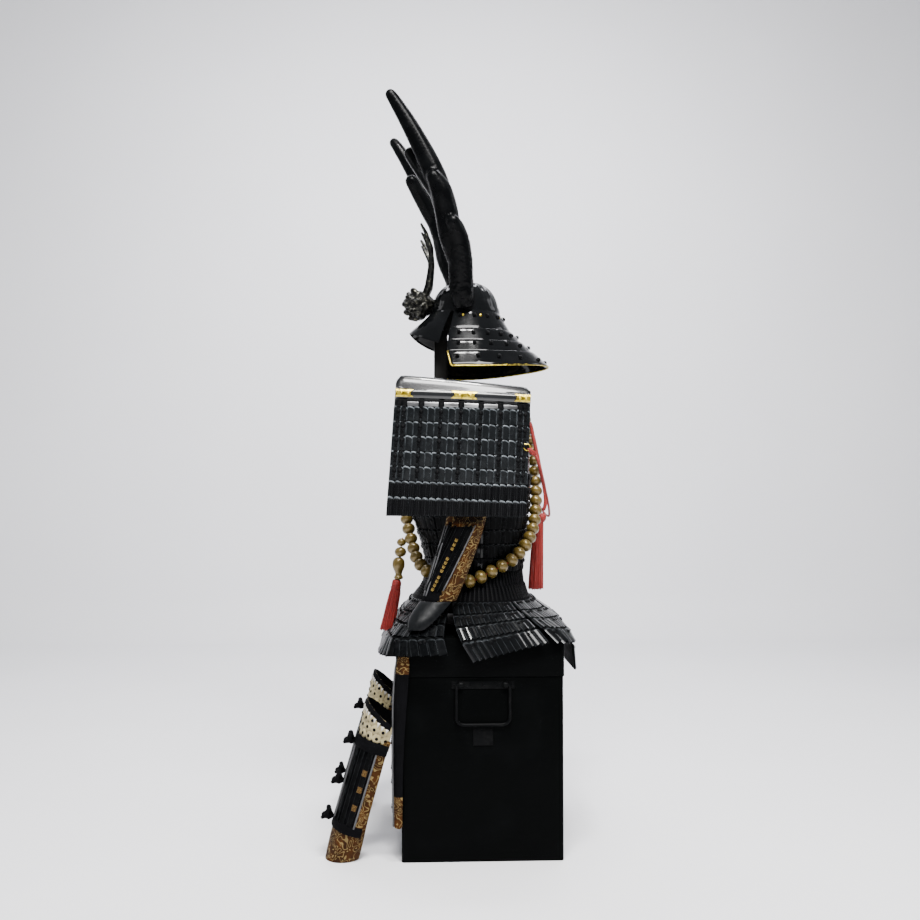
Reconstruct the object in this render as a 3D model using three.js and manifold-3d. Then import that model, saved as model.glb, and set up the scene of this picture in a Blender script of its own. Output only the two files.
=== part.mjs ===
// Samurai armour standing on its storage chest: helmet with antlers, laced cuirass, shoulder guards,
// sleeves, tassets, thigh and shin guards, prayer beads and cords. Millimetres, +Z up, front towards -Y.
// The origin is the middle of the chest's underside; the armour's left side is +X.
import * as THREE from 'three';
import { mergeVertices } from 'three/addons/utils/BufferGeometryUtils.js';
import Module from 'manifold-3d';

const wasm = await Module();
wasm.setup();

// Driving dimensions
const GAP = 0.3;
const CHEST = { width: 500, depth: 400, wall: 14, corner: 6, bodyTop: 451.7, lipTop: 486, lipWall: 6, lipInset: 8 };
const LID = { bottom: 452, top: 548, proud: 2.5, wall: 10, roof: 12, corner: 7 };
const BAIL = { pivot: 434, standoff: 9, radius: 4, halfSpan: 66, drop: 98, bend: 16, pinEnd: 48, holeRadius: 4.7 };
const EAR = { inner: 50, thick: 10, reach: 15.5, height: 16, strapHalf: 78, strapHeight: 22, strapThick: 2 };
const LOCK = { width: 49, low: 284, high: 329, thick: 2.5 };
const STAND = { footWidth: 260, footDepth: 210, footThick: 18, footY: -30, postX: 50, postFront: -118, postBack: -82 };
const BAR = { halfLength: 270.8, front: -84, back: -40, low: 1131.7, high: 1161.7 };
const HEAD_BLOCK = { radius: 62, low: 1338, shoulder: 1430, top: 1479.6, y: -33 };
const BOWL = { y: -33, base: 1391, halfWidth: 88, halfLength: 93, height: 92, wall: 3 };
const CUIRASS = { wall: 3, lameStep: 2.4, lameHeight: 37, low: 700, armhole: 960, frontTop: 1110, backTop: 1110 };
const STRAP = { inner: 62, outer: 112, thick: 8, top: 1170, foot: 1072 };
const SHOULDER = { x: 262, bulge: 14, wall: 3, firstTopOut: 3.9, rowTopOut: 4.8, rowLowOut: 0.7, lap: 8, across: 8 };
const TASSET = { wall: 3, top: 628, topOut: 3.2, lowOut: 0.8, across: 6 };
const SLEEVE_WALL = 2.5;
const THIGH = { thick: 2.5, halfWidth: 266, corner: 16, across: 24 };
const SHIN = { wall: 2.5, lean: 17, x: 201, footY: -346.6 };
const BEAD = { radius: 17.5, pitch: 31.5, cord: 3, sides: 8 };
const CORD_RADIUS = 4.5;
const SIDES = [{ name: 'left', sign: 1 }, { name: 'right', sign: -1 }];

// The figure that the cuirass, its lacing and the tassets follow: half width, depth to the front and back,
// and how square the section is (2 is an oval)
const FIGURE = [
  { z: 1120, side: 148, front: 150, back: 132, power: 2.4 },
  { z: 1040, side: 160, front: 170, back: 142, power: 2.4 },
  { z: 960, side: 165, front: 182, back: 143, power: 2.4 },
  { z: 880, side: 160, front: 178, back: 138, power: 2.4 },
  { z: 840, side: 155, front: 171, back: 134, power: 2.4 },
  { z: 760, side: 143, front: 146, back: 126, power: 2.3 },
  { z: 700, side: 138, front: 134, back: 120, power: 2.3 },
  { z: 661, side: 158, front: 146, back: 124, power: 2.3 },
  { z: 628, side: 186, front: 172, back: 140, power: 2.6 },
  { z: 602, side: 216, front: 196, back: 172, power: 3.2 },
  { z: 586, side: 236, front: 206, back: 202, power: 4.5 },
  { z: 551, side: 278, front: 226, back: 228, power: 10 },
  { z: 500, side: 288, front: 262, back: 250, power: 8 },
  { z: 420, side: 290, front: 266, back: 256, power: 8 },
];

// Tassets, by the angle round the body from the front towards the left, at the top and at the lower edge
const TASSETS = [
  { name: 'front', topFrom: -22, topTo: 22, lowFrom: -21, lowTo: 21, zFrom: 503, zTo: 503 },
  { name: 'front_left', topFrom: 24, topTo: 66, lowFrom: 23.5, lowTo: 73, zFrom: 500, zTo: 511 },
  { name: 'side_left', topFrom: 68, topTo: 113, lowFrom: 85, lowTo: 120, zFrom: 494, zTo: 538 },
  { name: 'back_left', topFrom: 115, topTo: 157, lowFrom: 123, lowTo: 157, zFrom: 540, zTo: 518 },
  { name: 'back', topFrom: 159, topTo: 201, lowFrom: 160, lowTo: 200, zFrom: 440, zTo: 440 },
  { name: 'back_right', topFrom: 203, topTo: 245, lowFrom: 203, lowTo: 237, zFrom: 518, zTo: 540 },
  { name: 'side_right', topFrom: 247, topTo: 292, lowFrom: 240, lowTo: 275, zFrom: 538, zTo: 494 },
  { name: 'front_right', topFrom: 294, topTo: 336, lowFrom: 287, lowTo: 336.5, zFrom: 511, zTo: 500 },
];
const TASSET_ROWS = [0, 0.22, 0.41, 0.64, 1];

// Neck guard rings: half width, reach behind the middle of the bowl, lift of the back edge, open angle at the front
const NECK = [
  { z: 1395, side: 91.2, back: 96.2, lift: 0, half: 110 },
  { z: 1341, side: 114, back: 128, lift: 4, half: 111 },
  { z: 1308, side: 130, back: 158, lift: 8, half: 109 },
  { z: 1278, side: 147, back: 190, lift: 11, half: 106 },
  { z: 1236, side: 168, back: 232, lift: 15, half: 101 },
];
const NECK_WALL = 2.5;
const NECK_STEP = 1.2;

// Shoulder guard edges, seen from the side: heights at the front and back edge, and where those edges lie
const CAP_EDGES = [
  { front: 1201, back: 1170, out: -12 },
  { front: 1192, back: 1163, out: -5 },
  { front: 1166, back: 1152, out: 0 },
  { front: 1165, back: 1151, out: 7 },
  { front: 1159, back: 1145, out: 11 },
  { front: 1147, back: 1134, out: 11 },
  { front: 1141, back: 1128, out: 7 },
  { front: 1140, back: 1127, out: 0 },
  { front: 1114, back: 1103, out: 0 },
];
const ROW_EDGES = [
  { front: 1122, back: 1112 },
  { front: 1085, back: 1072 },
  { front: 1050, back: 1035 },
  { front: 1012, back: 997 },
  { front: 975, back: 961 },
  { front: 938, back: 926 },
  { front: 899, back: 886 },
  { front: 850, back: 847 },
];
const SHOULDER_FRONT = { top: -215, low: -240, zTop: 1200, zLow: 850 };
const SHOULDER_BACK = { top: 121, low: 106, zTop: 1200, zLow: 850 };

// Left arm, from the shoulder to the wrist: middle of each ring and its half widths
const ARM = [
  { x: 214, y: -30, z: 1131.4, rx: 34, ry: 46 },
  { x: 216, y: -26, z: 1040, rx: 37, ry: 49 },
  { x: 217, y: -24, z: 940, rx: 36, ry: 49 },
  { x: 217, y: -34, z: 868, rx: 36, ry: 51 },
  { x: 217, y: -43, z: 826, rx: 36, ry: 52 },
  { x: 217, y: -63, z: 763, rx: 35, ry: 51 },
  { x: 217, y: -84, z: 700, rx: 33, ry: 48 },
  { x: 217, y: -108, z: 637, rx: 32, ry: 45 },
];
// Back of the hand plate, from the wrist to the knuckles
const HAND = [
  { x: 219, y: -113, z: 636.4, rx: 33, ry: 44, half: 88 },
  { x: 233, y: -133, z: 612, rx: 33, ry: 43, half: 84 },
  { x: 250, y: -150, z: 590, rx: 28, ry: 38, half: 80 },
  { x: 262, y: -162, z: 570, rx: 17, ry: 24, half: 76 },
];

// Thigh apron, from its top edge lying on the lid, over the edge and down: how far round the front it reaches
const APRON = [
  { z: 550.9, front: 158, reach: 200 },
  { z: 550.9, front: 203.5, reach: 226 },
  { z: 545, front: 208.5, reach: 238 },
  { z: 530, front: 211.5, reach: 252 },
  { z: 519, front: 212, reach: 267 },
  { z: 508, front: 213, reach: 284 },
  { z: 470, front: 218, reach: 292 },
  { z: 380, front: 223, reach: 288 },
  { z: 240, front: 222, reach: 279 },
  { z: 86, front: 220, reach: 276 },
];

// Shin guard in its own frame: height up the leg, half width, half depth, half angle of the shell. The hem is
// level with the floor though the guard leans
const SHIN_RINGS = [
  { h: 0, level: 1, rx: 46, ry: 44, half: 150 },
  { h: 50, level: 0, rx: 54, ry: 50, half: 138 },
  { h: 112, level: 0, rx: 55, ry: 50, half: 128 },
  { h: 202, level: 0, rx: 58, ry: 52, half: 124 },
  { h: 308, level: 0, rx: 60, ry: 52, half: 120 },
];
const KNEE_RINGS = [
  { h: 308.4, rise: 0, rx: 60, ry: 52, half: 119 },
  { h: 334, rise: 0, rx: 63, ry: 54, half: 117 },
  { h: 348, rise: 18, rx: 65, ry: 57, half: 113 },
  { h: 356, rise: 38, rx: 66, ry: 58, half: 108 },
];

// Antler limbs of the left antler: middle line and thickness
const ANTLER = {
  trunk: [[84, -40, 1404, 22], [97, -45, 1432, 28], [105, -48, 1466, 31], [125, -51, 1513, 30], [146, -56, 1560, 26],
    [170, -65, 1594, 20], [183, -74, 1614, 13]],
  beam: [[118, -50, 1500, 25], [140, -78, 1575, 23], [155, -90, 1640, 23], [171, -104, 1690, 25],
    [182, -118, 1716, 20], [187, -126, 1730, 11]],
  top: [[154, -88, 1640, 22], [160, -114, 1725, 21], [165, -140, 1790, 18], [171, -178, 1861, 15],
    [178, -220, 1922, 11], [181, -233, 1941, 7]],
  inner: [[162, -98, 1668, 14], [148, -128, 1716, 14], [130, -160, 1766, 13], [116, -181, 1804, 11], [112, -188, 1817, 6]],
};
const CREST_HORN = [[12, -146, 1436, 10], [26, -132, 1474, 12], [46, -126, 1518, 10], [67, -128, 1566, 7.5],
  [82, -142, 1602, 5.5], [90, -155, 1624, 3.5]];
const CREST_PRONG = [[60, -127, 1548, 6], [70, -140, 1580, 5], [75, -153, 1604, 3]];
// Crest boss, back to front: middle, half width and half height of each ring
const CREST_BOSS = [
  { y: -118, z: 1421, rx: 20, rz: 16 },
  { y: -136, z: 1423, rx: 36, rz: 30 },
  { y: -154, z: 1420, rx: 42, rz: 41 },
  { y: -174, z: 1421, rx: 36, rz: 39 },
  { y: -190, z: 1425, rx: 22, rz: 24 },
  { y: -203, z: 1427, rx: 5, rz: 6 },
];

// Bead loop, worn from the right shoulder to the left hip. Round the body: angle, height and distance off it
const BEADS_FRONT = [
  { angle: -34, z: 1085, out: 21 },
  { angle: -26, z: 1020, out: 21 },
  { angle: -17, z: 960, out: 21 },
  { angle: -8, z: 900, out: 21.5 },
  { angle: 0, z: 850, out: 22 },
  { angle: 9, z: 806, out: 27 },
  { angle: 18, z: 764, out: 34 },
  { angle: 30, z: 727, out: 42 },
  { angle: 41, z: 706, out: 46 },
  { angle: 54, z: 688, out: 38 },
  { angle: 68, z: 677, out: 27 },
  { angle: 83, z: 682, out: 24 },
];
const BEADS_BACK = [
  { angle: 99, z: 704, out: 24 },
  { angle: 121, z: 734, out: 24 },
  { angle: 145, z: 786, out: 23 },
  { angle: 164, z: 842, out: 22 },
  { angle: 176, z: 888, out: 21.5 },
  { angle: 186, z: 935, out: 21 },
  { angle: 195, z: 990, out: 20.5 },
  { angle: 203, z: 1045, out: 19.8 },
  { angle: 209, z: 1088, out: 22.2 },
];
const BEADS_SHOULDER = [[-90, 138.6, 1125], [-93, 118.6, 1160.6], [-94, 76, 1186.8], [-92, 0, 1187.4], [-91, -92, 1188.9],
  [-90, -126.6, 1175.6], [-92, -147.6, 1138]];

// Front pendant and tassels: middle and radius of each ring, all hanging down
const PENDANT = [
  { y: -203, z: 785.5, r: 3 },
  { y: -205, z: 782, r: 9 },
  { y: -206, z: 776, r: 12.5 },
  { y: -207, z: 768, r: 9 },
  { y: -207, z: 764, r: 3 },
  { y: -208, z: 760, r: 3 },
  { y: -208, z: 756, r: 9 },
  { y: -208, z: 749, r: 13 },
  { y: -209, z: 741, r: 9 },
  { y: -209, z: 736, r: 4 },
  { y: -210, z: 728, r: 12 },
  { y: -211, z: 719, r: 14 },
  { y: -212, z: 710, r: 11 },
  { y: -213, z: 700, r: 16 },
  { y: -215, z: 688, r: 17.5 },
  { y: -217, z: 677, r: 12 },
  { y: -218, z: 672, r: 3 },
];
const PENDANT_X = 33.5;
const FRONT_TASSEL = [
  { y: -218, z: 671.5, r: 5 },
  { y: -219, z: 667, r: 11 },
  { y: -221, z: 656, r: 12 },
  { y: -222, z: 650, r: 9 },
  { y: -223, z: 645, r: 12 },
  { y: -231, z: 600, r: 16 },
  { y: -246, z: 554, r: 19 },
];
const BACK_TASSEL = [
  { y: 178, z: 852, r: 5 },
  { y: 178, z: 848, r: 13 },
  { y: 177, z: 835, r: 14 },
  { y: 174, z: 828, r: 7 },
  { y: 170, z: 820, r: 13 },
  { y: 166, z: 790, r: 16 },
  { y: 162, z: 700, r: 20 },
  { y: 160, z: 641, r: 22 },
];
const BACK_CORD = [[0, 139.3, 1102], [0, 143.2, 1092], [0, 150, 1070], [0, 161, 1020], [0, 172, 970], [0, 182, 925],
  [0, 187, 890], [0, 186, 871], [0, 179.5, 853.7]];
// From the ring on the left shoulder guard's rear edge to the knot; the right half mirrors it
const SHOULDER_CORD = [[263, 117.2, 1018], [240, 138, 985], [190, 160, 930], [120, 180, 878], [55, 191, 850],
  [0, 194.7, 843]];

// Finishes
const FINISH = {
  lacquer: { color: 0x0d0d0e, roughness: 0.2, metalness: 0 },
  chest: { color: 0x0b0b0c, roughness: 0.35, metalness: 0 },
  iron: { color: 0x17181a, roughness: 0.4, metalness: 0.8 },
  wood: { color: 0x0f0e0d, roughness: 0.5, metalness: 0 },
  antler: { color: 0x0b0b0c, roughness: 0.15, metalness: 0 },
  carving: { color: 0x55544a, roughness: 0.35, metalness: 0.8 },
  brocade: { color: 0x6a4526, roughness: 0.8, metalness: 0 },
  hexagon: { color: 0xc0b494, roughness: 0.9, metalness: 0 },
  lacing: { color: 0x131314, roughness: 0.8, metalness: 0 },
  bead: { color: 0x96874a, roughness: 0.4, metalness: 0.3 },
  silk: { color: 0x9a2a1e, roughness: 0.7, metalness: 0 },
};
const armour = new THREE.Group();
armour.name = 'samurai_armour';

function add(name, geometry, finish) {
  const mesh = new THREE.Mesh(geometry, new THREE.MeshStandardMaterial(FINISH[finish]));
  mesh.name = name;
  armour.add(mesh);
  return mesh;
}

const radians = THREE.MathUtils.degToRad;
const lerp = THREE.MathUtils.lerp;
const point = (x, y, z) => new THREE.Vector3(x, y, z);

function range(count) {
  return Array.from({ length: count + 1 }, (_, index) => index);
}

// Linear between the rows of a table that runs downwards in z
function sample(table, z) {
  const last = table.length - 1;
  const below = table.findIndex((row) => row.z <= z);
  if (below === 0) return table[0];
  if (below < 0) return table[last];
  const upper = table[below - 1];
  const lower = table[below];
  const t = (upper.z - z) / (upper.z - lower.z);
  return Object.fromEntries(Object.keys(upper).map((key) => [key, lerp(upper[key], lower[key], t)]));
}

// A closed mesh from points and triangles, turned so that its faces point outwards
function closedMesh(points, triangles) {
  let volume = 0;
  for (const [a, b, c] of triangles) {
    volume += points[a].dot(points[b].clone().cross(points[c]));
  }
  const faces = volume < 0 ? triangles.map(([a, b, c]) => [a, c, b]) : triangles;
  const geometry = new THREE.BufferGeometry().setFromPoints(points);
  geometry.setIndex(faces.flat());
  geometry.computeVertexNormals();
  return geometry;
}

function quad(a, b, c, d) {
  return [[a, b, c], [a, c, d]];
}

// A wall between an outer and an inner grid of points, open at its edges or closed round
function wall(outer, inner, round = false) {
  const rows = outer.length;
  const columns = outer[0].length;
  const spans = round ? columns : columns - 1;
  const points = [...outer.flat(), ...inner.flat()];
  const at = (layer, i, j) => layer * rows * columns + i * columns + (j % columns);
  const triangles = [];
  for (let i = 0; i < rows - 1; i += 1) {
    for (let j = 0; j < spans; j += 1) {
      triangles.push(...quad(at(0, i, j), at(0, i + 1, j), at(0, i + 1, j + 1), at(0, i, j + 1)));
      triangles.push(...quad(at(1, i, j), at(1, i, j + 1), at(1, i + 1, j + 1), at(1, i + 1, j)));
    }
    if (!round) {
      const end = columns - 1;
      triangles.push(...quad(at(0, i + 1, 0), at(0, i, 0), at(1, i, 0), at(1, i + 1, 0)));
      triangles.push(...quad(at(0, i, end), at(0, i + 1, end), at(1, i + 1, end), at(1, i, end)));
    }
  }
  const low = rows - 1;
  for (let j = 0; j < spans; j += 1) {
    triangles.push(...quad(at(0, 0, j), at(0, 0, j + 1), at(1, 0, j + 1), at(1, 0, j)));
    triangles.push(...quad(at(0, low, j + 1), at(0, low, j), at(1, low, j), at(1, low, j + 1)));
  }
  return closedMesh(points, triangles);
}

// A solid through rings of points, with both ends closed, or joined into a loop
function loft(rings, loop = false) {
  const count = rings[0].length;
  const points = rings.flat();
  const triangles = [];
  const spans = loop ? rings.length : rings.length - 1;
  for (let i = 0; i < spans; i += 1) {
    const next = (i + 1) % rings.length;
    for (let j = 0; j < count; j += 1) {
      const k = (j + 1) % count;
      triangles.push(...quad(i * count + j, next * count + j, next * count + k, i * count + k));
    }
  }
  if (!loop) {
    const last = (rings.length - 1) * count;
    for (let j = 1; j < count - 1; j += 1) {
      triangles.push([0, j, j + 1]);
      triangles.push([last, last + j + 1, last + j]);
    }
  }
  return closedMesh(points, triangles);
}

// Rings square to a middle line, with a radius for each point of it
function tubeRings(centres, radii, sides, loop = false) {
  const count = centres.length;
  let side = null;
  return centres.map((centre, i) => {
    const before = centres[loop ? (i + count - 1) % count : Math.max(i - 1, 0)];
    const after = centres[loop ? (i + 1) % count : Math.min(i + 1, count - 1)];
    const along = after.clone().sub(before).normalize();
    if (!side) side = Math.abs(along.x) < 0.8 ? point(1, 0, 0) : point(0, 1, 0);
    side = side.clone().addScaledVector(along, -side.dot(along)).normalize();
    const up = along.clone().cross(side);
    return range(sides - 1).map((j) => {
      const turn = (2 * Math.PI * j) / sides;
      return centre.clone()
        .addScaledVector(side, radii[i] * Math.cos(turn))
        .addScaledVector(up, radii[i] * Math.sin(turn));
    });
  });
}

function limb(rows, sides = 8) {
  const centres = rows.map(([x, y, z]) => point(x, y, z));
  return loft(tubeRings(centres, rows.map((row) => row[3]), sides));
}

function toSolid(geometry) {
  const bare = geometry.index ? geometry.clone() : geometry.clone();
  for (const key of Object.keys(bare.attributes)) {
    if (key !== 'position') bare.deleteAttribute(key);
  }
  const merged = mergeVertices(bare, 1e-4);
  return new wasm.Manifold(new wasm.Mesh({
    numProp: 3,
    vertProperties: new Float32Array(merged.attributes.position.array),
    triVerts: new Uint32Array(merged.index.array),
  }));
}

function fromSolid(solid) {
  const mesh = solid.getMesh();
  const geometry = new THREE.BufferGeometry();
  geometry.setAttribute('position', new THREE.BufferAttribute(new Float32Array(mesh.vertProperties), 3));
  geometry.setIndex(new THREE.BufferAttribute(new Uint32Array(mesh.triVerts), 1));
  geometry.computeVertexNormals();
  return geometry;
}

function join(...geometries) {
  return fromSolid(geometries.map(toSolid).reduce((whole, piece) => whole.add(piece)));
}

function cut(base, ...tools) {
  return fromSolid(tools.map(toSolid).reduce((whole, piece) => whole.subtract(piece), toSolid(base)));
}

// The mirror image across the middle plane of the armour
function mirrored(geometry) {
  const copy = mergeVertices(stripped(geometry), 1e-4);
  copy.scale(-1, 1, 1);
  const index = copy.index.array;
  for (let i = 0; i < index.length; i += 3) {
    [index[i + 1], index[i + 2]] = [index[i + 2], index[i + 1]];
  }
  copy.computeVertexNormals();
  return copy;
}

function stripped(geometry) {
  const copy = geometry.clone();
  copy.deleteAttribute('normal');
  copy.deleteAttribute('uv');
  return copy;
}

function addPair(prefix, suffix, geometry, finish) {
  for (const { name, sign } of SIDES) {
    add(`${prefix}_${name}${suffix}`, sign > 0 ? geometry : mirrored(geometry), finish);
  }
}

// Chest, lid and their fittings
function block(width, depth, low, high, radius, x = 0, y = 0) {
  const shape = new THREE.Shape();
  const halfX = width / 2 - radius;
  const halfY = depth / 2 - radius;
  shape.absarc(halfX, halfY, radius, 0, Math.PI / 2, false);
  shape.absarc(-halfX, halfY, radius, Math.PI / 2, Math.PI, false);
  shape.absarc(-halfX, -halfY, radius, Math.PI, 1.5 * Math.PI, false);
  shape.absarc(halfX, -halfY, radius, 1.5 * Math.PI, 2 * Math.PI, false);
  const geometry = new THREE.ExtrudeGeometry(shape, { depth: high - low, bevelEnabled: false, curveSegments: 3 });
  return geometry.translate(x, y, low);
}

function chestBody() {
  const { width, depth, wall: thick, corner, bodyTop, lipTop, lipWall, lipInset } = CHEST;
  const outer = block(width, depth, 0, bodyTop, corner);
  const lip = block(width - 2 * lipInset, depth - 2 * lipInset, bodyTop - 20, lipTop, corner - 2);
  const inside = 2 * (lipInset + lipWall);
  const hollow = block(width - inside, depth - inside, thick, lipTop + 10, corner - 3);
  return cut(join(outer, lip), hollow);
}

function chestLid() {
  const width = CHEST.width + 2 * LID.proud;
  const depth = CHEST.depth + 2 * LID.proud;
  const outer = block(width, depth, LID.bottom, LID.top, LID.corner);
  const hollow = block(width - 2 * LID.wall, depth - 2 * LID.wall, LID.bottom - 10, LID.top - LID.roof, 4);
  return cut(outer, hollow);
}

function bail() {
  const x = CHEST.width / 2 + BAIL.standoff;
  const { pivot, halfSpan, drop, bend, pinEnd, radius } = BAIL;
  const corner = (y, z, size, from) => range(3).map((step) => {
    const turn = radians(from + step * 30);
    return point(x, y + size * Math.cos(turn), z + size * Math.sin(turn));
  });
  const small = 5;
  const right = [
    ...corner(halfSpan - bend, pivot - drop + bend, bend, -90),
    ...corner(halfSpan - small, pivot - small, small, 0),
    point(x, pinEnd, pivot),
  ];
  const left = right.map((p) => point(p.x, -p.y, p.z)).reverse();
  const path = [...left, ...right];
  return loft(tubeRings(path, path.map(() => radius), 8));
}

function bailMount() {
  const face = CHEST.width / 2 + GAP;
  const strap = block(EAR.strapThick, 2 * EAR.strapHalf, BAIL.pivot - EAR.strapHeight / 2,
    BAIL.pivot + EAR.strapHeight / 2 - 4, 0.8, face + EAR.strapThick / 2, 0);
  const centre = BAIL.standoff - GAP;
  const shape = new THREE.Shape();
  shape.moveTo(0.5, -EAR.height / 2);
  shape.lineTo(centre, -EAR.height / 2);
  shape.absarc(centre, 0, EAR.height / 2, -Math.PI / 2, Math.PI / 2, false);
  shape.lineTo(0.5, EAR.height / 2);
  const hole = new THREE.Path();
  hole.absarc(centre, 0, BAIL.holeRadius, 0, 2 * Math.PI, true);
  shape.holes.push(hole);
  const ears = [-EAR.inner, EAR.inner + EAR.thick].map((y) => {
    const ear = new THREE.ExtrudeGeometry(shape, { depth: EAR.thick, bevelEnabled: false, curveSegments: 6 });
    return ear.rotateX(Math.PI / 2).translate(face, y, BAIL.pivot);
  });
  return join(strap, ...ears);
}

function lockPlate() {
  const x = CHEST.width / 2 + GAP + LOCK.thick / 2;
  return block(LOCK.thick, LOCK.width, LOCK.low, LOCK.high, 1, x, 0);
}

// The wooden stand: foot board on the lid, post, shoulder bar and head block in one glued frame
function stand() {
  const footLow = LID.top + GAP;
  const foot = block(STAND.footWidth, STAND.footDepth, footLow, footLow + STAND.footThick, 6, 0, STAND.footY);
  const postDepth = STAND.postBack - STAND.postFront;
  const postY = (STAND.postFront + STAND.postBack) / 2;
  const post = block(STAND.postX, postDepth, footLow + 5, HEAD_BLOCK.low + 10, 4, 0, postY);
  const bar = block(2 * BAR.halfLength, BAR.back - BAR.front, BAR.low, BAR.high, 3, 0, (BAR.back + BAR.front) / 2);
  const { radius, low, shoulder, top, y } = HEAD_BLOCK;
  const profile = [[0, low], [radius * 0.7, low], [radius, low + 10], [radius, shoulder], [radius * 0.8, top - 22],
    [radius * 0.45, top - 6], [0, top]];
  const head = new THREE.LatheGeometry(profile.map(([r, z]) => new THREE.Vector2(r, z)), 16);
  head.rotateX(Math.PI / 2).translate(0, y, 0);
  return join(foot, post, bar, head);
}

// Helmet
function bowlRings(grow, low) {
  const steps = 7;
  return range(steps).map((step) => {
    const turn = (Math.PI / 2) * (1 - step / steps);
    const level = Math.pow(Math.sin(turn), 0.9);
    const z = low + (BOWL.height + grow) * level;
    const reach = Math.max(Math.pow(Math.cos(turn), 0.8), 0.02);
    return range(23).map((j) => {
      const angle = (2 * Math.PI * j) / 24;
      return point((BOWL.halfWidth + grow) * reach * Math.sin(angle), BOWL.y
        - (BOWL.halfLength + grow) * reach * Math.cos(angle), z);
    });
  });
}

function bowl() {
  const outer = loft(bowlRings(0, BOWL.base));
  const inner = loft([...bowlRings(-BOWL.wall, BOWL.base), bowlRings(-BOWL.wall, BOWL.base - 10).at(-1)]);
  return cut(outer, inner);
}

// A piece that stands on the bowl, cut back to a seat just off it
function seated(geometry) {
  return cut(geometry, loft(bowlRings(GAP, BOWL.base - GAP)));
}

// A broad peak that slopes down and forward from the bowl's front rim, with turned-back ends
function visor() {
  const rows = [
    { half: 66, reach: 96, side: 91, z: 1396, drop: 0 },
    { half: 64, reach: 112, side: 98, z: 1379, drop: 6 },
    { half: 62, reach: 135, side: 106, z: 1361, drop: 24 },
    { half: 61, reach: 154, side: 111, z: 1344, drop: 50 },
  ];
  const thick = 2.5;
  const grid = (depth) => rows.map((row) => range(14).map((j) => {
    const angle = radians(lerp(-row.half, row.half, j / 14));
    const down = row.drop * Math.pow(Math.abs(Math.sin(angle)), 1.6);
    return point((row.side - depth) * Math.sin(angle), BOWL.y - (row.reach - depth) * Math.cos(angle), row.z - down);
  }));
  return wall(grid(0), grid(thick));
}

function neckRow(index) {
  const upper = NECK[index];
  const lower = NECK[index + 1];
  const lap = 5;
  const columns = 22;
  const ring = (row, out, dz) => range(columns).map((j) => {
    const angle = radians(lerp(-row.half, row.half, j / columns));
    const lift = row.lift * Math.pow(Math.max(Math.cos(angle), 0), 2);
    return point((row.side + out) * Math.sin(angle), BOWL.y + (row.back + out) * Math.cos(angle), row.z + lift + dz);
  });
  const isLast = index === NECK.length - 2;
  const lowDz = isLast ? 0 : -lap;
  const topOut = index === 0 ? 0 : NECK_STEP;
  return wall([ring(upper, topOut, 0), ring(lower, 0, lowDz)],
    [ring(upper, topOut - NECK_WALL, 0), ring(lower, -NECK_WALL, lowDz)]);
}

function crest() {
  const rings = CREST_BOSS.map(({ y, z, rx, rz }) => range(9).map((j) => {
    const angle = (2 * Math.PI * j) / 10;
    return point(rx * Math.sin(angle), y, z + rz * Math.cos(angle));
  }));
  const horns = [CREST_HORN, CREST_PRONG].map((rows) => limb(rows, 6));
  return seated(join(loft(rings), ...horns, ...horns.map(mirrored)));
}

// Cuirass: a laced wall in level rows, with the top edge cut down to the armholes
function figurePoint(angle, z, out) {
  const row = sample(FIGURE, z);
  const turn = radians(angle);
  const across = Math.abs(Math.sin(turn)) / row.side;
  const along = Math.abs(Math.cos(turn)) / (Math.cos(turn) > 0 ? row.front : row.back);
  const reach = Math.pow(Math.pow(across, row.power) + Math.pow(along, row.power), -1 / row.power) + out;
  return point(reach * Math.sin(turn), -reach * Math.cos(turn), z);
}

function cuirassHalf(middle, top) {
  const half = 89.94;
  const columns = 12;
  const { wall: thick, lameStep, lameHeight, low, armhole } = CUIRASS;
  const lames = Math.round((armhole - low) / lameHeight);
  const levels = [];
  for (let k = 0; k < lames; k += 1) {
    levels.push({ z: low + k * lameHeight + (k > 0 ? 0.6 : 0), out: 0 });
    levels.push({ z: low + (k + 1) * lameHeight, out: lameStep });
  }
  const shoulder = low + lames * lameHeight;
  const grid = (inside) => {
    const rings = levels.map(({ z, out }) => range(columns).map((j) => {
      const angle = middle + lerp(-half, half, j / columns);
      return figurePoint(angle, z, inside ? -thick : out);
    }));
    for (const fraction of [0.5, 1]) {
      rings.push(range(columns).map((j) => {
        const off = lerp(-half, half, j / columns);
        const dip = THREE.MathUtils.smoothstep(Math.abs(off), 40, 76);
        const edge = lerp(top, shoulder + 8, dip);
        return figurePoint(middle + off, lerp(shoulder + 0.6, edge, fraction), inside ? -thick : 0);
      }));
    }
    return rings;
  };
  return wall(grid(false), grid(true));
}

// A shoulder strap lies on the back plate, bends over the bar and ends above the front plate's edge
function strapStation(x, share, z, out) {
  const turn = (back) => {
    const row = sample(FIGURE, 1110);
    const reach = back ? row.back : row.front;
    return reach * Math.pow(1 - Math.pow(x / row.side, row.power), 1 / row.power);
  };
  return point(x, lerp(-turn(false), turn(true), share) + out, z);
}

function strap() {
  const { inner, outer, thick, top, foot } = STRAP;
  const rows = [
    { share: 1, z: foot, out: 2, ny: 1, nz: 0 },
    { share: 1, z: 1112, out: 2, ny: 1, nz: 0 },
    { share: 0.93, z: 1152, out: 0, ny: 0.8, nz: 0.6 },
    { share: 0.8, z: top, out: 0, ny: 0, nz: 1 },
    { share: 0.12, z: top, out: 0, ny: 0, nz: 1 },
    { share: 0.03, z: 1150, out: 0, ny: -0.8, nz: 0.6 },
    { share: 0, z: CUIRASS.frontTop + GAP, out: 2, ny: -1, nz: 0 },
  ];
  const grid = (depth) => rows.map((row) => range(4).map((j) => {
    const p = strapStation(lerp(inner, outer, j / 4), row.share, row.z, row.out);
    return p.add(point(0, -row.ny * depth, -row.nz * depth));
  }));
  return wall(grid(0), grid(thick));
}

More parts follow.
